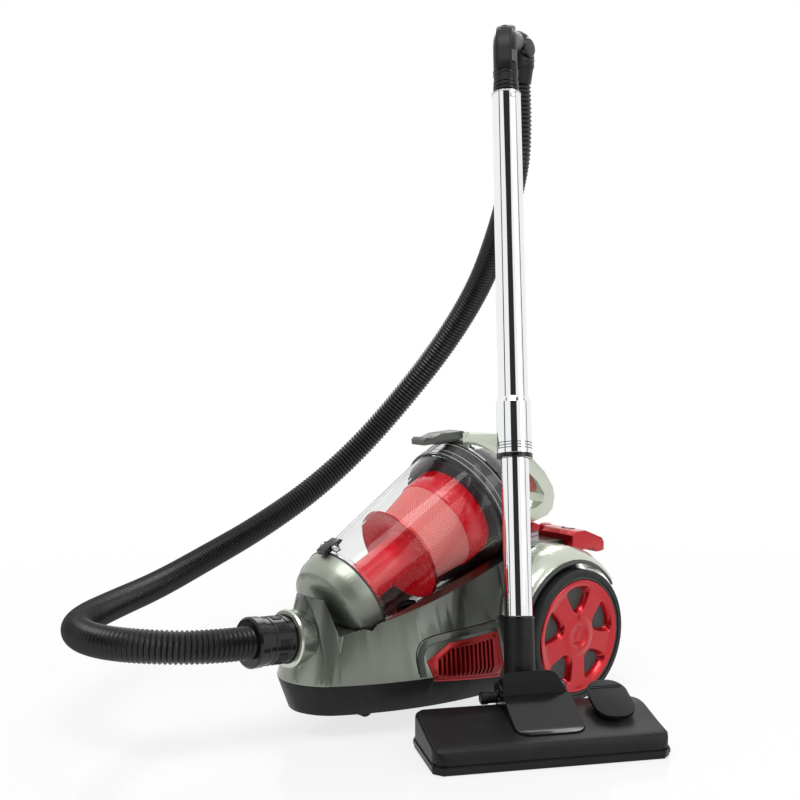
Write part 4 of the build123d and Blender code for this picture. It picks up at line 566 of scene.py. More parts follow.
def ribbon(name, on, line, width, toward, material, body, lift):
    """A thin raised line laid on a CAD node: line's points are dropped on it along toward."""
    ground = tree_of(on)
    toward = Vector(toward).normalized()
    places = []
    for a, b in zip(line, line[1:]):
        count = max(1, round((b - a).length / LINE_STEP))
        places += [a.lerp(b, k / count) for k in range(count)]
    places.append(line[-1])
    section = ((-1, -0.25), (-0.8, lift), (0.8, lift), (1, -0.25))
    n = len(section)
    verts, faces = [], []
    for i, place in enumerate(places):
        ahead = places[min(i + 1, len(places) - 1)] - places[max(i - 1, 0)]
        across = ahead.cross(toward).normalized()
        row = []
        for share, height in section:
            start = place + across * (width / 2 * share * MM) - toward * LINE_START
            hit = ground.ray_cast(start, toward)[0]
            row.append(None if hit is None else hit - toward * (height * MM))
        if all(row):
            if verts and (row[1] - verts[1 - n]).length < LINE_JUMP:
                k = len(verts) - n
                faces += [(k + j, k + j + 1, k + n + j + 1, k + n + j) for j in range(n - 1)]
            verts += row
    add_mesh(name, verts, faces, material, body)


def soften(obj, width, segments):
    """Rounded edges on a piece of flat faces."""
    weld = obj.modifiers.new("weld", "WELD")
    weld.merge_threshold = 0.00002
    flat = obj.modifiers.new("flat", "DECIMATE")
    flat.decimate_type = "DISSOLVE"
    flat.angle_limit = math.radians(0.6)
    bevel = obj.modifiers.new("round", "BEVEL")
    bevel.width = width * MM
    bevel.segments = segments
    bevel.limit_method = "ANGLE"
    bevel.angle_limit = math.radians(30)
    bevel.miter_outer = "MITER_ARC"
    bevel.harden_normals = True
    obj.data.shade_smooth()


# ---------- CAD nodes ----------
LOOK = {
    "silver_shell": ("side_panel_left", "side_panel_right", "rear_cover"),
    "silver_nose": ("nose_cap",),
    "silver_cap": ("bin_floor",),
    "silver_pale": ("fenders", "bin_handle"),
    "silver_dark": ("head_latch",),
    "dark_head": ("bin_head",),
    "red_gloss": ("power_pedal", "cord_pedal", "hub_cap_left", "hub_cap_right"),
    "red_shaded": ("exhaust_grilles",),
    "red_clear_glow": ("cyclone_shroud", "bin_release_button"),
    "core_grey": ("wheel_core_left", "wheel_core_right"),
    "black_plastic": ("base_chassis", "bin_cradle", "inlet_duct", "caster_fork", "caster_wheel", "neck",
                      "head_sole", "head_cover", "cord_reel", "swivel_housing", "hose_cup", "fan_impeller",
                      "grip", "foot_pedal"),
    "black_gloss": ("head_saddle", "hose_cuff", "cuff_collar", "cord_gland", "bin_floor_catch",
                    "head_pins"),
    "chrome_tube": ("inner_tube", "outer_tube", "lock_sleeve"),
    "clear_bin": ("bin_cylinder",),
    "smoked_head": ("head_ring",),
    "tyre_rubber": ("tyre_left", "tyre_right", "head_rollers"),
    "seal_rubber": ("bin_floor_seal",),
    "steel": ("base_screws", "stub_axles", "bin_pins", "snap_button"),
    "filter_foam": ("exhaust_filters", "bin_filter"),
    "motor_metal": ("motor_can", "motor_rotor"),
    "hose_rubber": ("hose_lower", "hose_upper"),
    "mid_grey": ("suction_slider",),
    "bristle": ("bristle_strips",),
}
# Edge radius in millimetres of the pieces whose edges show; the others have EDGE.
ROUND = {"nose_cap": 2.0, "side_panel_left": 2.0, "side_panel_right": 2.0, "rear_cover": 2.0,
         "bin_handle": 6.0, "fenders": 1.2, "power_pedal": 2.5, "cord_pedal": 2.5, "exhaust_grilles": 0.7,
         "base_chassis": 2.0, "head_saddle": 2.0, "head_sole": 0.8, "head_latch": 1.5, "foot_pedal": 1.5,
         "neck": 1.0, "bin_floor_catch": 1.0, "caster_fork": 0.8}
EDGE = 0.35
# Turned pieces keep their own round faces.
TURNED = ("bin_cylinder", "head_ring", "cyclone_shroud", "inner_tube", "outer_tube", "lock_sleeve",
          "hose_cuff", "cuff_collar", "tyre_left", "tyre_right", "bin_filter", "grip", "swivel_housing",
          "hose_cup")
for key, names in LOOK.items():
    for name in names:
        piece = frame["nodes"][name]
        paint(piece, key)
        if name not in TURNED:
            soften(piece, ROUND.get(name, EDGE), 3 if name in ROUND else 2)

# ---------- bin and cyclone ----------
BIN_TILT = math.radians(26)
BIN_AT = at(0, -256, 145)
BIN_AXIS = Vector((0, math.cos(BIN_TILT), math.sin(BIN_TILT)))
BIN_UP = Vector((0, -math.sin(BIN_TILT), math.cos(BIN_TILT)))


def on_bin(name, profile, material, body="bin"):
    """A piece turned about the bin's axis."""
    lathe(name, BIN_AT, BIN_AXIS, profile, material, body)


def cyclone_bands():
    """The coloured bands of the cyclone inside the clear bin."""
    on_bin("cyclone_mesh", ((47.5, 97.5), (56.3, 149), (56.1, 149), (47.2, 97.5)), "red_mesh_glow")
    on_bin("cyclone_band", ((56.5, 149), (58.0, 152), (58.9, 181), (58.0, 183), (57.4, 183), (56.2, 151)),
           "red_clear_glow")
    on_bin("skirt_rim", ((58.6, 85.6), (60.0, 86.2), (60.2, 87.6), (59.4, 88.6), (58.4, 88.2)), "red_gloss")


def bin_rings():
    """Seal and rim lines round the bin."""
    on_bin("floor_seal_band", ((59, -3.0), (61.9, -3.0), (62.2, -2.2), (62.2, -1.2), (61.9, -0.7),
                               (59, -0.7)), "seal_rubber", "bin_floor")
    on_bin("bead_low", ((61.4, 0.6), (62.0, 1.2), (62.0, 2.8), (61.4, 3.4)), "clear_bin")
    on_bin("head_seal", ((70.5, 184.5), (73.4, 184.5), (73.4, 190), (70.5, 190)), "seal_rubber")
    ring_r, line_w = 78.7, 1.5
    for k, t in enumerate((192.0, 199.0, 212.5)):
        on_bin(f"ring_line_{k}", ((ring_r, t), (ring_r + 0.65, t + 0.4), (ring_r + 0.65, t + line_w - 0.4),
                                  (ring_r, t + line_w)), "light_grey")
    on_bin("head_rim", ((77.6, 216.6), (78.8, 216.6), (79.3, 218.2), (78.6, 219.6), (77.6, 219.6)),
           "dark_head")


def catch_details():
    """The steel barrel on each side of the floor's catch."""
    pin = BIN_AT + (BIN_UP * 66.0 + BIN_AXIS * 3.0) * MM
    for side, sign in (("right", -1), ("left", 1)):
        lathe(f"catch_barrel_{side}", pin, (sign, 0, 0),
              ((0, 8.2), (3.0, 8.2), (3.2, 9), (3.2, 12.4), (2.4, 13.2), (0, 13.2)), "steel", "bin",
              steps=32)


cyclone_bands()
bin_rings()
catch_details()

# ---------- canister details ----------
SIDES = ((1, "left"), (-1, "right"))
BESIDE = 150               # outside both side panels, in millimetres
CORNER = 6 * MM            # how far a line on the shell is cut at its corners
AXLE_UP = 80               # height of the rear axle


def beside(sign, *places):
    """Points beside the canister, given as (y, z) in millimetres."""
    return [at(sign * BESIDE, y, z) for y, z in places]


def shifted(line, back, up):
    """The same line moved rearward and up, in millimetres."""
    return [p + Vector((0, back, up)) * MM for p in line]


def panel_lines():
    """Painted shadow lines at the joints of the shell, painted shade on the step round each grille, and each grille's
    frame in a shaded red with a painted glint along its foot.
    """
    for sign, side in SIDES:
        panel = f"side_panel_{side}"
        inward = (-sign, 0, 0)
        # Painted shade: a dark strip laid on the flush panel, in place of the shaded recess round the grille.
        step = beside(sign, (-220, 64), (-221, 84), (-214, 96), (-206, 101), (-184, 104), (-104, 107))
        ribbon(f"grille_step_shade_{side}", panel, curved(step, CORNER), 9.0, inward, "silver_step_shade",
               "canister", 0.5)
        ribbon(f"grille_edge_{side}", panel, curved(shifted(step, -4.6, 4), CORNER), 1.0, inward,
               "painted_shadow", "canister", 0.6)
        rim = beside(sign, (-209, 79), (-204.4, 60.5), (-203, 59.8), (-111, 48.7), (-111, 95.6),
                     (-181, 92.8), (-183, 92.2))
        rim = curved(rim + rim[:2], CORNER)[2:]
        ribbon(f"grille_frame_{side}", "exhaust_grilles", rim, 5.6, inward, "red_shaded", "canister", 0.35)
        # Painted highlight: a thin line of the brighter red along the foot of each grille's frame.
        ribbon(f"grille_glint_{side}", "exhaust_grilles", beside(sign, (-204, 58.3), (-111, 47.2)), 1.2,
               inward, "red_gloss", "canister", 0.9)
        seam = beside(sign, *((-88.9, z) for z in range(66, 172, 6)))
        ribbon(f"rear_seam_{side}", panel, seam, 1.1, inward, "painted_shadow", "canister", 0.1)


def fender_bands():
    """The dark lip along the outer edge of each wheel arch."""
    front, back = 37, 159
    for sign, side in SIDES:
        lathe(f"fender_lip_{side}", at(0, 0, AXLE_UP), (sign, 0, 0),
              ((93.4, 114.7), (87.9, 120.1), (86.6, 119.9), (86.9, 118.6), (91.5, 113.6)), "core_grey",
              "canister", arc=(front, back) if sign > 0 else (-back, -front), zero=(0, 1, 0))


def inlet_trim():
    """The ring round the inlet and the bands on the cuff."""
    rise = math.radians(4.5)
    out = Vector((0, -math.cos(rise), math.sin(rise)))
    origin = at(0, -318, 109)
    lathe("inlet_ring", origin, out, ((26.6, 21.5), (31.4, 21.5), (32.4, 23.6), (31.0, 25.6), (27.6, 25.8),
                                      (26.6, 24.4)), "silver_pale", "canister")
    lathe("inlet_lip", origin, out, ((26.1, 24.6), (27.5, 25.9), (27.4, 27.2), (26.4, 27.4)), "black_gloss",
          "canister")
    for k, h in enumerate((33.0, 52.0)):
        lathe(f"cuff_bead_{k}", origin, out, ((25.6, h), (26.9, h + 0.8), (26.9, h + 2.4), (25.6, h + 3.2)),
              "black_gloss", "cuff")
    ridges = 10
    for k in range(ridges):
        turn = 360 * k / ridges
        lathe(f"cuff_grip_{k}", origin, out, ((25.8, 37.5), (26.9, 38.5), (26.9, 49), (25.8, 50)),
              "black_plastic", "cuff", steps=4, arc=(turn, turn + 14), zero=(1, 0, 0))


PEDAL_X = 48               # middle of each pedal
PEDAL_TOP = ((51, 194.5), (68, 194), (100, 181))


def pedal_marks():
    """A plain power sign on one pedal, and a ring with a bar on the other."""
    ring_y, ring_steps = 70, 40
    section = ((7.7, 0.1), (7.9, 0.6), (10.1, 0.6), (10.3, 0.1))
    for sign, body, gap in ((1, "power_pedal", 32), (-1, "cord_pedal", 0)):
        centre = sign * PEDAL_X
        verts, faces = [], []
        for k in range(ring_steps + 1):
            turn = math.radians(90 + gap + (360 - 2 * gap) * k / ring_steps)
            for radius, lift in section:
                y = ring_y + radius * math.sin(turn)
                verts.append(at(centre + radius * math.cos(turn), y, height_at(PEDAL_TOP, y) + lift))
        for k in range(ring_steps):
            for j in range(3):
                a = k * 4 + j
                faces.append((a, a + 1, a + 5, a + 4))
        add_mesh(f"{body}_ring", verts, faces, "black_gloss", body)
        sheet(f"{body}_bar", [(y, centre - 1.3, centre + 1.3) for y in (72, 75, 78, 81, 82.5)], 2,
              lambda u, v: at(u, v, height_at(PEDAL_TOP, v) + 0.6),
              lambda u, v: at(u, v, height_at(PEDAL_TOP, v) + 0.05), "black_gloss", body)


panel_lines()
fender_bands()
inlet_trim()
pedal_marks()

# ---------- wheels ----------
PITCH = TAU / 5            # between two windows of the wheel cap
WINDOW_IN, WINDOW_OUT = 26.0, 60.8
WINDOW_HALF_W = 7.2        # half the window's width at its inner end, before its sides spread
WINDOW_SPREAD = math.radians(30)
WINDOW_BLEND = 3.2         # softness of its corners
WINDOW_Z = 116.6           # its bottom, over the wheel's middle plane
CAP_RIM = 121
CAP_FACE = ((0, 126.2), (12, 126.2), (15, 128.4), (19, 128.4), (26, 126.6), (56, 126.4), (61.5, 127.6),
            (64.5, 128.7), (66.8, 129.0), (68.4, 127.6), (68.6, CAP_RIM))
HUB_REACH = 10.5           # flats of the five-sided dish in the hub


def smooth_max(values, blend):
    """The largest value, with soft corners."""
    top = max(values)
    return top + blend * math.log(sum(math.exp((v - top) / blend) for v in values))


def past_window(radius, turn):
    """How far outside the nearest window's edge a place of the cap is, in millimetres."""
    turn = (turn + PITCH / 2) % PITCH - PITCH / 2
    along, across = radius * math.cos(turn), abs(radius * math.sin(turn))
    side = (math.cos(WINDOW_SPREAD) * (across - WINDOW_HALF_W)
            - math.sin(WINDOW_SPREAD) * (along - WINDOW_IN))
    return smooth_max((radius - WINDOW_OUT, WINDOW_IN - along, side), WINDOW_BLEND)


def cap_height(radius, turn):
    """Height of the wheel cap's face over its axle, in millimetres."""
    height = height_at(CAP_FACE, radius)
    reach = radius * math.cos(turn % PITCH - PITCH / 2)
    if reach < HUB_REACH:
        dish = 1.2 * min(1.0, (HUB_REACH - reach) / 3)
        height = CAP_FACE[0][1] - dish + 1.6 * max(0.0, 1 - radius / 6.5)
    sink = min(1.0, max(0.0, (0.4 - past_window(radius, turn)) / 5.2)) if radius > 20 else 0.0
    return height - (height - WINDOW_Z) * sink * (0.35 + 0.65 * sink)


def wheel_cap(sign, side):
    """The cap of one wheel, with five scooped windows, in place of its CAD cap."""
    radii = [0.0, 2, 4, 5.5, 6.5, 7.5, 8.5, 9.5, 10.5, 11.5, 12.5, 13.5, 15, 17, 19]
    radii += [20 + 0.5 * k for k in range(84)] + [62.5 + 0.5 * k for k in range(12)] + [68.4, 68.6]
    around = 480
    verts = []
    for radius in radii:
        for k in range(around):
            turn = TAU * k / around
            verts.append(at(sign * cap_height(radius, turn), radius * math.sin(turn),
                            AXLE_UP + radius * math.cos(turn)))
    faces = ring_faces(len(radii), around)
    if sign < 0:
        faces = [(a, d, c, b) for a, b, c, d in faces]
    cap = add_mesh(f"wheel_cap_{side}", verts, faces, "red_gloss", f"wheel_{side}")
    smooth(cap.data, 55)
    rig.replaces(cap, f"hub_cap_{side}")
    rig.slot(cap, "red_gloss")


wheel_cap(1, "left")
wheel_cap(-1, "right")

# ---------- wand ----------
NECK_X, NECK_Y, NECK_Z = 168, -144, 50
NECK = at(NECK_X, NECK_Y, NECK_Z)
WAND = Vector((-0.1988, 0.1624, 0.9664)).normalized()
HANDLE_BACK = Vector((-0.624, 0.781, 0))
ACROSS = (HANDLE_BACK - WAND * HANDLE_BACK.dot(WAND)).normalized()
ASIDE = ACROSS.cross(WAND)


def on_wand(across, along, aside=0.0):
    """A point of the wand's own plane, in millimetres."""
    return NECK + (ACROSS * across + WAND * along + ASIDE * aside) * MM


def wand_ring(name, low, radius, height, material, body, rise=0.5):
    """A raised ring round the wand, from low to low + height along it."""
    lathe(name, NECK, WAND, ((radius - 0.8, low), (radius, low + rise), (radius, low + height - rise),
                             (radius - 0.8, low + height)), material, body)


def wand_details():
    """Rings, the slot of the lower tube as a strip of painted shadow, and the lines of the grip."""
    wand_ring("sleeve_ring", 261.6, 20.7, 5.6, "black_gloss", "lock_sleeve")
    for k in range(3):
        wand_ring(f"sleeve_line_{k}", 272.0 + 3.2 * k, 20.45, 1.2, "black_gloss", "lock_sleeve", 0.2)
    wand_ring("socket_lip", 79.4, 17.9, 3.4, "black_gloss", "wand_lower")
    wand_ring("tube_top_lip", 703.5, 17.85, 2.4, "steel", "wand_upper", 0.3)
    for k in range(3):
        wand_ring(f"grip_line_{k}", 708.5 + 5.0 * k, 15.3 + 0.25 * (2 - k), 2.4, "black_gloss",
                  "wand_upper", 0.4)
    # Painted shadow: a dark strip on the chrome in place of the slot.
    lathe("tube_slot", NECK, WAND, ((16.02, 92), (16.12, 92), (16.12, 116), (16.02, 116)), "painted_shadow",
          "wand_lower", steps=3, arc=(2, 7), zero=(0.8, -0.6, 0))


def grip_strip():
    """The raised strip over the front of the grip, with a screw's hole at its top as a disc of painted shadow."""
    bend, bend_radius, bend_steps = math.radians(66.7), 25, 12
    bend_at = 761.5            # along the wand
    hole_at = 15               # place of the screw's hole on the path
    path = [((0, 734 + 5.5 * k), (-1, 0)) for k in range(6)]
    for k in range(bend_steps + 1):
        turn = math.pi - bend * k / bend_steps
        out = (math.cos(turn), math.sin(turn))
        path.append(((bend_radius * (1 + out[0]), bend_at + bend_radius * out[1]), out))
    for k in range(1, 7):
        path.append(((15.2 + 0.919 * 7 * k, 784.5 + 0.395 * 7 * k), (-0.395, 0.919)))
    last = len(path) - 1

    def face(u, v, height):
        (across, along), (out_a, out_l) = path[round(v)]
        lift = height - 1.3 * (abs(u) / 9.6) ** 4
        return on_wand(across + out_a * lift, along + out_l * lift, u)

    def half_width(k):
        return 9.6 if 0 < k < last else 8.2
    sheet("grip_strip", [(k, -half_width(k), half_width(k)) for k in range(len(path))], 10,
          lambda u, v: face(u, v, 17.3 if 0 < v < last else 15.6), lambda u, v: face(u, v, 12.0),
          "black_plastic", "wand_upper")
    (across, along), out = path[hole_at]
    centre = on_wand(across + out[0] * 17.0, along + out[1] * 17.0)
    outward = ACROSS * out[0] + WAND * out[1]
    # Painted shadow: a dark disc in place of the screw's hole.
    lathe("strip_hole", centre, outward, ((0, 0), (3.6, 0), (3.6, 0.5), (0, 0.5)), "painted_shadow",
          "wand_upper", steps=32)
    lathe("strip_hole_rim", centre, outward, ((3.6, 0), (4.8, 0), (4.5, 0.8), (3.8, 0.8)), "black_gloss",
          "wand_upper", steps=32)
    for k in range(2):
        low = 729.0 + 4.2 * k
        lathe(f"grip_rib_{k}", NECK, WAND, ((14.3, low + 2.4), (15.3, low + 1.8), (15.3, low + 0.6),
                                            (14.3, low)), "black_gloss", "wand_upper")


def swivel_dome():
    """The rounded cover of the hose swivel, and the disc on its side."""
    rise = (WAND * 46 - ACROSS * 12).normalized()
    foot = on_wand(147, 790)
    lathe("swivel_dome", foot, rise,
          ((20, 22), (24.4, 22), (24.6, 30), (23.8, 40), (21.4, 49), (17, 56.5), (10.5, 61.5), (0, 63.5),
           (0, 60), (16, 50)), "black_plastic", "wand_upper")
    lathe("swivel_line", foot, rise, ((24.0, 21.0), (24.9, 21.6), (24.9, 22.8), (24.0, 23.4)),
          "black_gloss", "wand_upper")
    lathe("swivel_disc", on_wand(132, 822), (ASIDE - ACROSS * 0.55).normalized(),
          ((0, 17), (12.5, 17), (13.2, 22.4), (11.5, 24.2), (8, 24.6), (0, 24.6)), "black_gloss",
          "wand_upper", steps=64)


wand_details()
grip_strip()
swivel_dome()

# ---------- floor head ----------
HEAD_LONG = Vector((0.477, 0.879, 0)).normalized()
HEAD_BACK = Vector((-0.879, 0.477, 0)).normalized()
HEAD_AT = at(213, -161, 0)
HEAD_HALF_W, HEAD_HALF_D = 130.0, 55.0
NECK_ALONG = (NECK - HEAD_AT).dot(HEAD_LONG) / MM
NECK_BACK = (NECK - HEAD_AT).dot(HEAD_BACK) / MM
HEAD_TOP = ((-50, 25), (-18, 30), (22, 38), (50, 38))
SADDLE_LEFT, SADDLE_RIGHT = NECK_ALONG - 27.2, NECK_ALONG + 49.2
PEDAL_ALONG, PEDAL_BACK, PEDAL_UP = 85, 11, 44.4


def on_head(along, back, up):
    """A point of the floor head: along it, rearward and up, in millimetres."""
    return HEAD_AT + (HEAD_LONG * along + HEAD_BACK * back + Vector((0, 0, up))) * MM


def head_plan(half_w, half_d):
    """The head seen from above: cut corners, shallow in front and deep at the back."""
    return [(-half_w, -half_d + 9), (-half_w + 9, -half_d), (half_w - 9, -half_d), (half_w, -half_d + 9),
            (half_w, half_d - 17), (half_w - 12, half_d), (-half_w + 12, half_d), (-half_w, half_d - 17)]


def head_outline():
    """The head's plan in short even steps, with its corners cut off by 4 mm."""
    plan = head_plan(HEAD_HALF_W, HEAD_HALF_D)
    outline = []
    for (x0, y0), (x1, y1) in zip(plan, plan[1:] + plan[:1]):
        length = math.hypot(x1 - x0, y1 - y0)
        cut = min(4.0, length * 0.3)
        straight = length - 2 * cut
        count = max(3, round(straight / 2.5))
        for k in range(count + 1):
            share = (cut + straight * k / count) / length
            outline.append((x0 + (x1 - x0) * share, y0 + (y1 - y0) * share))
    return outline


def head_shell():
    """The head's cover with soft edges, in place of its CAD cover."""
    rim_z, edge_r = 4.4, 4.5
    crest = curved([Vector(p) for p in ((-56, 8.5), (-55, 14), (-49.5, 25.2), (-18, 30), (22, 38), (49, 38),
                                        (54, 33.5), (56, 30))], 2.6)
    outline = head_outline()
    flat = list(outline)
    verts = [on_head(u, v, rim_z) for u, v in outline]
    insets = [0, 0.15, 0.5, 1.0, 1.7, 2.5, 3.4, 4.5, 5.5, 7] + [8.5 + 2.1 * k for k in range(22)] + [54.9]
    for inset in insets:
        drop = edge_r - math.sqrt(edge_r ** 2 - max(edge_r - inset, 0) ** 2)
        ring = [(u * (1 - inset / HEAD_HALF_W), v * (1 - inset / HEAD_HALF_D)) for u, v in outline]
        flat += ring
        verts += [on_head(u, v, height_at(crest, v) - drop * 0.8) for u, v in ring]
    around, edge_rings = len(outline), 4

    def under_hood(k):
        u, v = flat[k]
        return abs(u - NECK_ALONG - 11) < 33 and abs(v - NECK_BACK) < 18
    faces = [face for face in ring_faces(len(insets) + 1, around)
             if face[0] < edge_rings * around or not under_hood(face[0])]
    shell = add_mesh("head_shell", verts, faces, "black_plastic", "floor_head")
    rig.replaces(shell, "head_cover")
    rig.slot(shell, "black_plastic")


def pedal_posts():
    """The two posts that hold the foot pedal's pin."""
    crown = {8.2: 39.0, 9.2: 41.0, 12: 44.0, 14.5: 44.2, 17: 44.0, 20: 41.0}
    for k, near in enumerate((PEDAL_ALONG - 14.0, PEDAL_ALONG + 10.4)):
        sheet(f"pedal_post_{k}", [(v, near, near + 3.6) for v in crown], 2,
              lambda u, v: on_head(u, v, crown[v]), lambda u, v: on_head(u, v, 33.5), "black_plastic",
              "floor_head")


def hood():
    """The fairing that rises in front of the neck's pivot."""
    low, high, corner_r, steps = -13.0, 29.5, 7, 18
    front_r = 23.2
    rows = []
    for k in range(steps + 1):
        v = low + (high - low) * k / steps
        cut = max(0.0, v - (high - corner_r))
        corner = corner_r - math.sqrt(max(corner_r ** 2 - cut * cut, 0))
        slope = max(0.0, v + 2) * 0.55
        rows.append((v, SADDLE_LEFT + corner, SADDLE_RIGHT - slope - corner))

    def face(u, v, gauge):
        front = math.sqrt(max(front_r ** 2 - min(v, 0) ** 2, 0)) - max(v, 0) ** 2 * 0.0004
        return on_head(u, NECK_BACK - front + gauge, NECK_Z + v)
    sheet("saddle_hood", rows, 18, lambda u, v: face(u, v, 0), lambda u, v: face(u, v, 1.7),
          "black_plastic", "floor_head")
    lathe("saddle_pivot", NECK + (HEAD_BACK * 2 - Vector((0, 0, 5))) * MM, HEAD_LONG,
          ((0, -46), (5.6, -46), (7.2, -44.4), (7.2, -38), (6.2, -37.4), (6.2, -27), (0, -27)),
          "black_plastic", "floor_head", steps=48)


def saddle_plate():
    """The plate that runs down from the hood onto the cover, with rounded front corners and a painted shadow line
    along its edge.
    """
    front, back, corner_r, corner_steps, steps = -34, 24, 15, 7, 6
    left, right = SADDLE_LEFT - 0.2, SADDLE_RIGHT + 0.2
    rows = []
    for k in range(corner_steps + 1):
        turn = TAU / 4 * k / corner_steps
        cut = corner_r * (1 - math.sin(turn))
        rows.append((front + corner_r * (1 - math.cos(turn)), left + cut, right - cut))
    straight = back - front - corner_r
    rows += [(front + corner_r + straight * k / steps, left, right) for k in range(1, steps + 1)]

    def top(u, v):
        return on_head(u, v, max(height_at(HEAD_TOP, v) + 1.9, 33.5 + (v + 20) * 0.462))

    def resting(u, v):
        return on_head(u, v, height_at(HEAD_TOP, v) + 0.1)
    sheet("saddle_plate", rows, 14, top, resting, "black_gloss", "floor_head")
    # Painted shadow: a dark line along the plate's edge on the cover.
    edge = [(near, v) for v, near, far in reversed(rows)] + [(far, v) for v, near, far in rows]
    edge = [on_head(u, v - 0.6, height_at(HEAD_TOP, v)) for u, v in edge]
    ribbon("saddle_line", "head_cover", edge, 2.6, (0, 0, -1), "painted_shadow", "floor_head", 0.1)


def head_seam():
    """The shadow line between the head's cover and its base, and the base's bumper."""
    half_w, half_d = HEAD_HALF_W + 0.15, HEAD_HALF_D + 0.15
    plan = head_plan(half_w, half_d)
    n = len(plan)
    for name, low, high, out, material in (("head_seam", 9.2, 10.3, 0.05, "painted_shadow"),
                                           ("head_bumper", 3.2, 8.6, 0.9, "black_plastic")):
        section = ((0, low), (out, low + 0.4), (out, high - 0.4), (0, high))
        verts = [on_head(u * (1 + past / half_w), v * (1 + past / half_d), z)
                 for u, v in plan for past, z in section]
        faces = []
        for i in range(n):
            j = (i + 1) % n
            faces += [(i * 4 + k, j * 4 + k, j * 4 + k + 1, i * 4 + k + 1) for k in range(3)]
        add_mesh(name, verts, faces, material, "floor_head")


def pedal_ridge():
    """Two raised lines across the foot pedal."""
    tilt = math.radians(22)
    back = HEAD_BACK * math.cos(tilt) + Vector((0, 0, math.sin(tilt)))
    up = Vector((0, 0, math.cos(tilt))) - HEAD_BACK * math.sin(tilt)
    pad = on_head(PEDAL_ALONG, PEDAL_BACK, PEDAL_UP)

    def face(u, v, height):
        return pad + (HEAD_LONG * u + back * v + up * height) * MM
    for k, v in enumerate((17.0, 20.0)):
        rows = [(v, -18, 18), (v + 0.7, -18.4, 18.4), (v + 1.4, -18, 18)]
        sheet(f"foot_ridge_{k}", rows, 12, lambda u, v: face(u, v, 5.6), lambda u, v: face(u, v, 4.9),
              "black_gloss", "foot_pedal")


head_shell()
pedal_posts()
hood()
saddle_plate()
head_seam()
pedal_ridge()

# ---------- hose ----------
HOSE_D = 36.5 * MM
RIB_PITCH = 5.4 * MM
RIB_DEPTH = 2.3 * MM
HOSE_ROUTE = (
    (0, -393.8, 115), (0, -445.6, 119), (-36, -499, 122), (-96, -524, 120), (-160, -516, 117),
    (-222, -474, 112), (-285, -398, 107), (-340, -304, 108), (-376, -206, 126), (-394, -108, 153),
    (-394, -10, 198), (-377, 68, 258), (-342, 122, 330), (-283, 158, 416), (-213, 163, 502),
    (-150, 140, 576), (-100, 115, 641), (-72.9, 99.5, 699.2), (-75.9, 97.0, 769.0))
HOSE_JOIN = 11             # the leg on which the lower hose ends
RIB_SHAPE = (0.0, 0.35, 1.0, 0.35)


def route_line(name, points):
    """Points along the smooth curve of a cord's route, read from a NURBS spline."""
    curve = bpy.data.curves.new(name, "CURVE")
    curve.dimensions = "3D"
    spline = curve.splines.new("NURBS")
    spline.points.add(len(points) - 1)
    for knot, point in zip(spline.points, points):
        knot.co = (*point, 1)
    spline.order_u = 3
    spline.use_endpoint_u = True
    spline.resolution_u = 24
    holder = bpy.data.objects.new(name, curve)
    mesh = bpy.data.meshes.new_from_object(holder)
    line = [v.co.copy() for v in mesh.vertices]
    bpy.data.objects.remove(holder)
    return line


def evenly(line, step):
    """The same line at even steps, and its length."""
    lengths = [0.0]
    for a, b in zip(line, line[1:]):
        lengths.append(lengths[-1] + (b - a).length)
    count = max(2, round(lengths[-1] / step))
    places, k = [], 0
    for i in range(count + 1):
        wanted = lengths[-1] * i / count
        while k < len(line) - 2 and lengths[k + 1] < wanted:
            k += 1
        share = (wanted - lengths[k]) / max(lengths[k + 1] - lengths[k], 1e-9)
        places.append(line[k].lerp(line[k + 1], min(share, 1)))
    return places, lengths[-1]


def ribbed_tube(name, line, node_name):
    """A ribbed hose along a line, in place of its CAD tube."""
    places, length = evenly(line, RIB_PITCH / len(RIB_SHAPE))
    around = 40
    verts = []
    side = (places[1] - places[0]).orthogonal().normalized()
    for i, place in enumerate(places):
        ahead = places[min(i + 1, len(places) - 1)] - places[max(i - 1, 0)]
        ahead.normalize()
        side = (side - ahead * side.dot(ahead)).normalized()
        other = ahead.cross(side)
        radius = HOSE_D / 2 - RIB_DEPTH * RIB_SHAPE[i % len(RIB_SHAPE)]
        verts += [place + (side * math.cos(TAU * k / around) + other * math.sin(TAU * k / around)) * radius
                  for k in range(around)]
    tube = add_mesh(name, verts, ring_faces(len(places), around), "hose_rubber", None)
    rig.replaces(tube, node_name)
    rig.slot(tube, "hose_rubber")
    return tube, places, length


route = [at(*point) for point in HOSE_ROUTE]
halfway = (route[HOSE_JOIN - 1] + route[HOSE_JOIN]) / 2
lower, lower_line, lower_length = ribbed_tube(
    "hose_lower_skin", route_line("lower", route[:HOSE_JOIN] + [halfway]), "hose_lower")
upper, upper_line, upper_length = ribbed_tube(
    "hose_upper_skin", route_line("upper", [halfway] + route[HOSE_JOIN:]), "hose_upper")
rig.blend(lower, "canister", "wand_lower", start=at(-388, -200, 120), end=at(-388, 20, 226))
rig.blend(upper, "wand_lower", "wand_upper", start=at(-388, 40, 240), end=at(-80, 100, 740))
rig.cord(lower, exit=lower_line[0], length=lower_length, diameter=HOSE_D, far_end="object",
        stiffness="stiff", lay="loose", path=lower_line)
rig.cord(upper, exit=upper_line[0], length=upper_length, diameter=HOSE_D, far_end="object",
        stiffness="stiff", lay="hanging", path=upper_line)

# ---------- studio ----------
WHITE = (1, 1, 1, 1)


def light(name, place, aim, size, power):
    """A soft rectangular lamp, in the row frame."""
    data = bpy.data.lights.new(name, "AREA")
    data.shape = "RECTANGLE"
    data.size, data.size_y = size
    data.energy = power
    lamp = show(name, data)
    lamp.location = place
    lamp.rotation_euler = (aim - place).to_track_quat("-Z", "Y").to_euler()


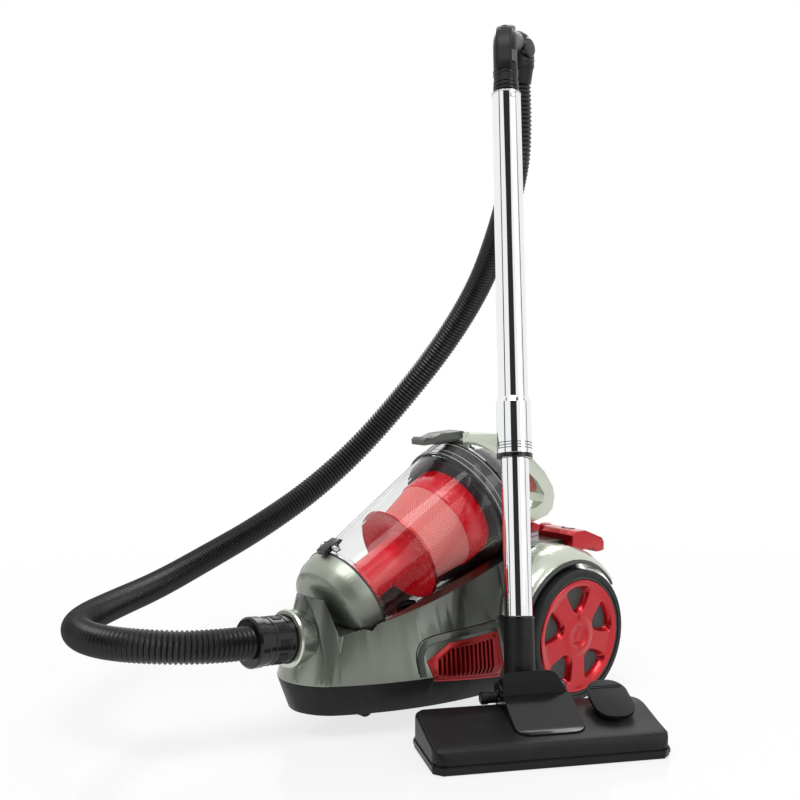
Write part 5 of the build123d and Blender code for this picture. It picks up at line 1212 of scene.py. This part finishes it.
def white_world():
    """A pale studio: white to the eye and in reflections, softer as light."""
    world = bpy.data.worlds.new("studio")
    bpy.context.scene.world = world
    world.use_nodes = True
    world.node_tree.nodes.clear()
    out = node(world, "ShaderNodeOutputWorld")
    seen = node(world, "ShaderNodeBackground", Color=WHITE, Strength=1.0)
    lit = node(world, "ShaderNodeBackground", Color=WHITE, Strength=0.4)
    path = node(world, "ShaderNodeLightPath")
    either = node(world, "ShaderNodeMath", operation="MAXIMUM")
    third = node(world, "ShaderNodeMath", operation="MAXIMUM")
    mix = node(world, "ShaderNodeMixShader")
    join(world, (path.outputs["Is Camera Ray"], either.inputs[0]),
         (path.outputs["Is Glossy Ray"], either.inputs[1]),
         (either.outputs[0], third.inputs[0]),
         (path.outputs["Is Transmission Ray"], third.inputs[1]),
         (third.outputs[0], mix.inputs["Fac"]),
         (lit.outputs[0], mix.inputs[1]),
         (seen.outputs[0], mix.inputs[2]),
         (mix.outputs[0], out.inputs["Surface"]))


def white_floor():
    """The pale floor: white to the eye, with a soft shadow and a faint reflection of the object."""
    mesh = bpy.data.meshes.new("floor")
    reach = 6.0
    mesh.from_pydata([(-reach, -reach, 0), (reach, -reach, 0), (reach, reach, 0), (-reach, reach, 0)], [],
                     [(0, 1, 2, 3)])
    floor = show("floor", mesh)
    floor.location.z = -0.0006
    material = shader("floor_white", (0.95, 0.95, 0.95), 0.12, Specular_IOR_Level=0.7)
    nodes = material.node_tree.nodes
    glow = node(material, "ShaderNodeEmission", Color=WHITE)
    both = node(material, "ShaderNodeMixShader")
    place = node(material, "ShaderNodeNewGeometry")
    away = node(material, "ShaderNodeVectorMath", operation="LENGTH")
    fade = node(material, "ShaderNodeMapRange", interpolation_type="SMOOTHSTEP", From_Min=0.35,
                From_Max=1.5, To_Min=0.76, To_Max=1.0)
    join(material, (place.outputs["Position"], away.inputs[0]),
         (away.outputs["Value"], fade.inputs["Value"]),
         (fade.outputs["Result"], both.inputs["Fac"]),
         (nodes["Principled BSDF"].outputs[0], both.inputs[1]),
         (glow.outputs[0], both.inputs[2]),
         (both.outputs[0], nodes["Material Output"].inputs["Surface"]))
    mesh.materials.append(material)
    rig.stage(floor)


def dark_card(name, first, last, low, high, shade, flare=0):
    """A curved card that only shows in reflections, between two angles about the wand's foot."""
    distance, count = 3200, 16
    verts = []
    for k in range(count + 1):
        for height, wider in ((low, 0), (high, flare)):
            turn = math.radians(first - wider + (last - first + 2 * wider) * k / count)
            verts.append(at(NECK_X + distance * math.cos(turn), NECK_Y + distance * math.sin(turn), height))
    mesh = bpy.data.meshes.new(name)
    mesh.from_pydata([tuple(v) for v in verts], [],
                     [(2 * k, 2 * k + 2, 2 * k + 3, 2 * k + 1) for k in range(count)])
    mesh.materials.append(shader(name, (0, 0, 0), 1.0, Specular_IOR_Level=0.0, Emission_Strength=1.0,
                                 Emission_Color=(shade, shade, shade, 1)))
    card = show(name, mesh)
    for way in ("camera", "diffuse", "shadow", "transmission", "volume_scatter"):
        setattr(card, f"visible_{way}", False)
    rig.stage(card)


def dark_cards():
    """The dark places of the studio that the chrome and the paint reflect."""
    dark_card("card_front", -70, -24, 250, 2700, 0.03)
    dark_card("card_high", -70, -24, 2700, 5400, 0.03, 48)
    dark_card("card_left", -118, -110, 200, 4200, 0.04)
    dark_card("card_right", 46, 52, 200, 4200, 0.1)


def set_camera():
    """The camera: from the front left of the canister, a little above it."""
    data = bpy.data.cameras.new("camera")
    data.sensor_width = 36
    data.lens = 58.5
    camera = show("camera", data)
    camera.location = at(1149.4, -1174.1, 487)
    tilt = math.radians(4.5)
    look = Vector((-0.755 * math.cos(tilt), 0.656 * math.cos(tilt), -math.sin(tilt)))
    camera.rotation_euler = look.to_track_quat("-Z", "Y").to_euler()
    bpy.context.scene.camera = camera


def lamps():
    """A key lamp high in front, a fill from the left and a lamp behind."""
    light("key", at(650, -950, 2700), at(0, -100, 200), (1.7, 1.3), 40)
    light("fill", at(2300, 500, 1500), at(0, -100, 200), (1.0, 1.8), 13)
    light("back", at(-1500, 1200, 1900), at(0, 0, 200), (1.6, 1.2), 18)


white_world()
white_floor()
dark_cards()
set_camera()
lamps()
bpy.context.scene.view_settings.view_transform = "Standard"

with open("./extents.json", "w") as out:
    json.dump({"cad": [list(c) for c in cad_box], "visual": [list(c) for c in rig.bounds()]}, out)
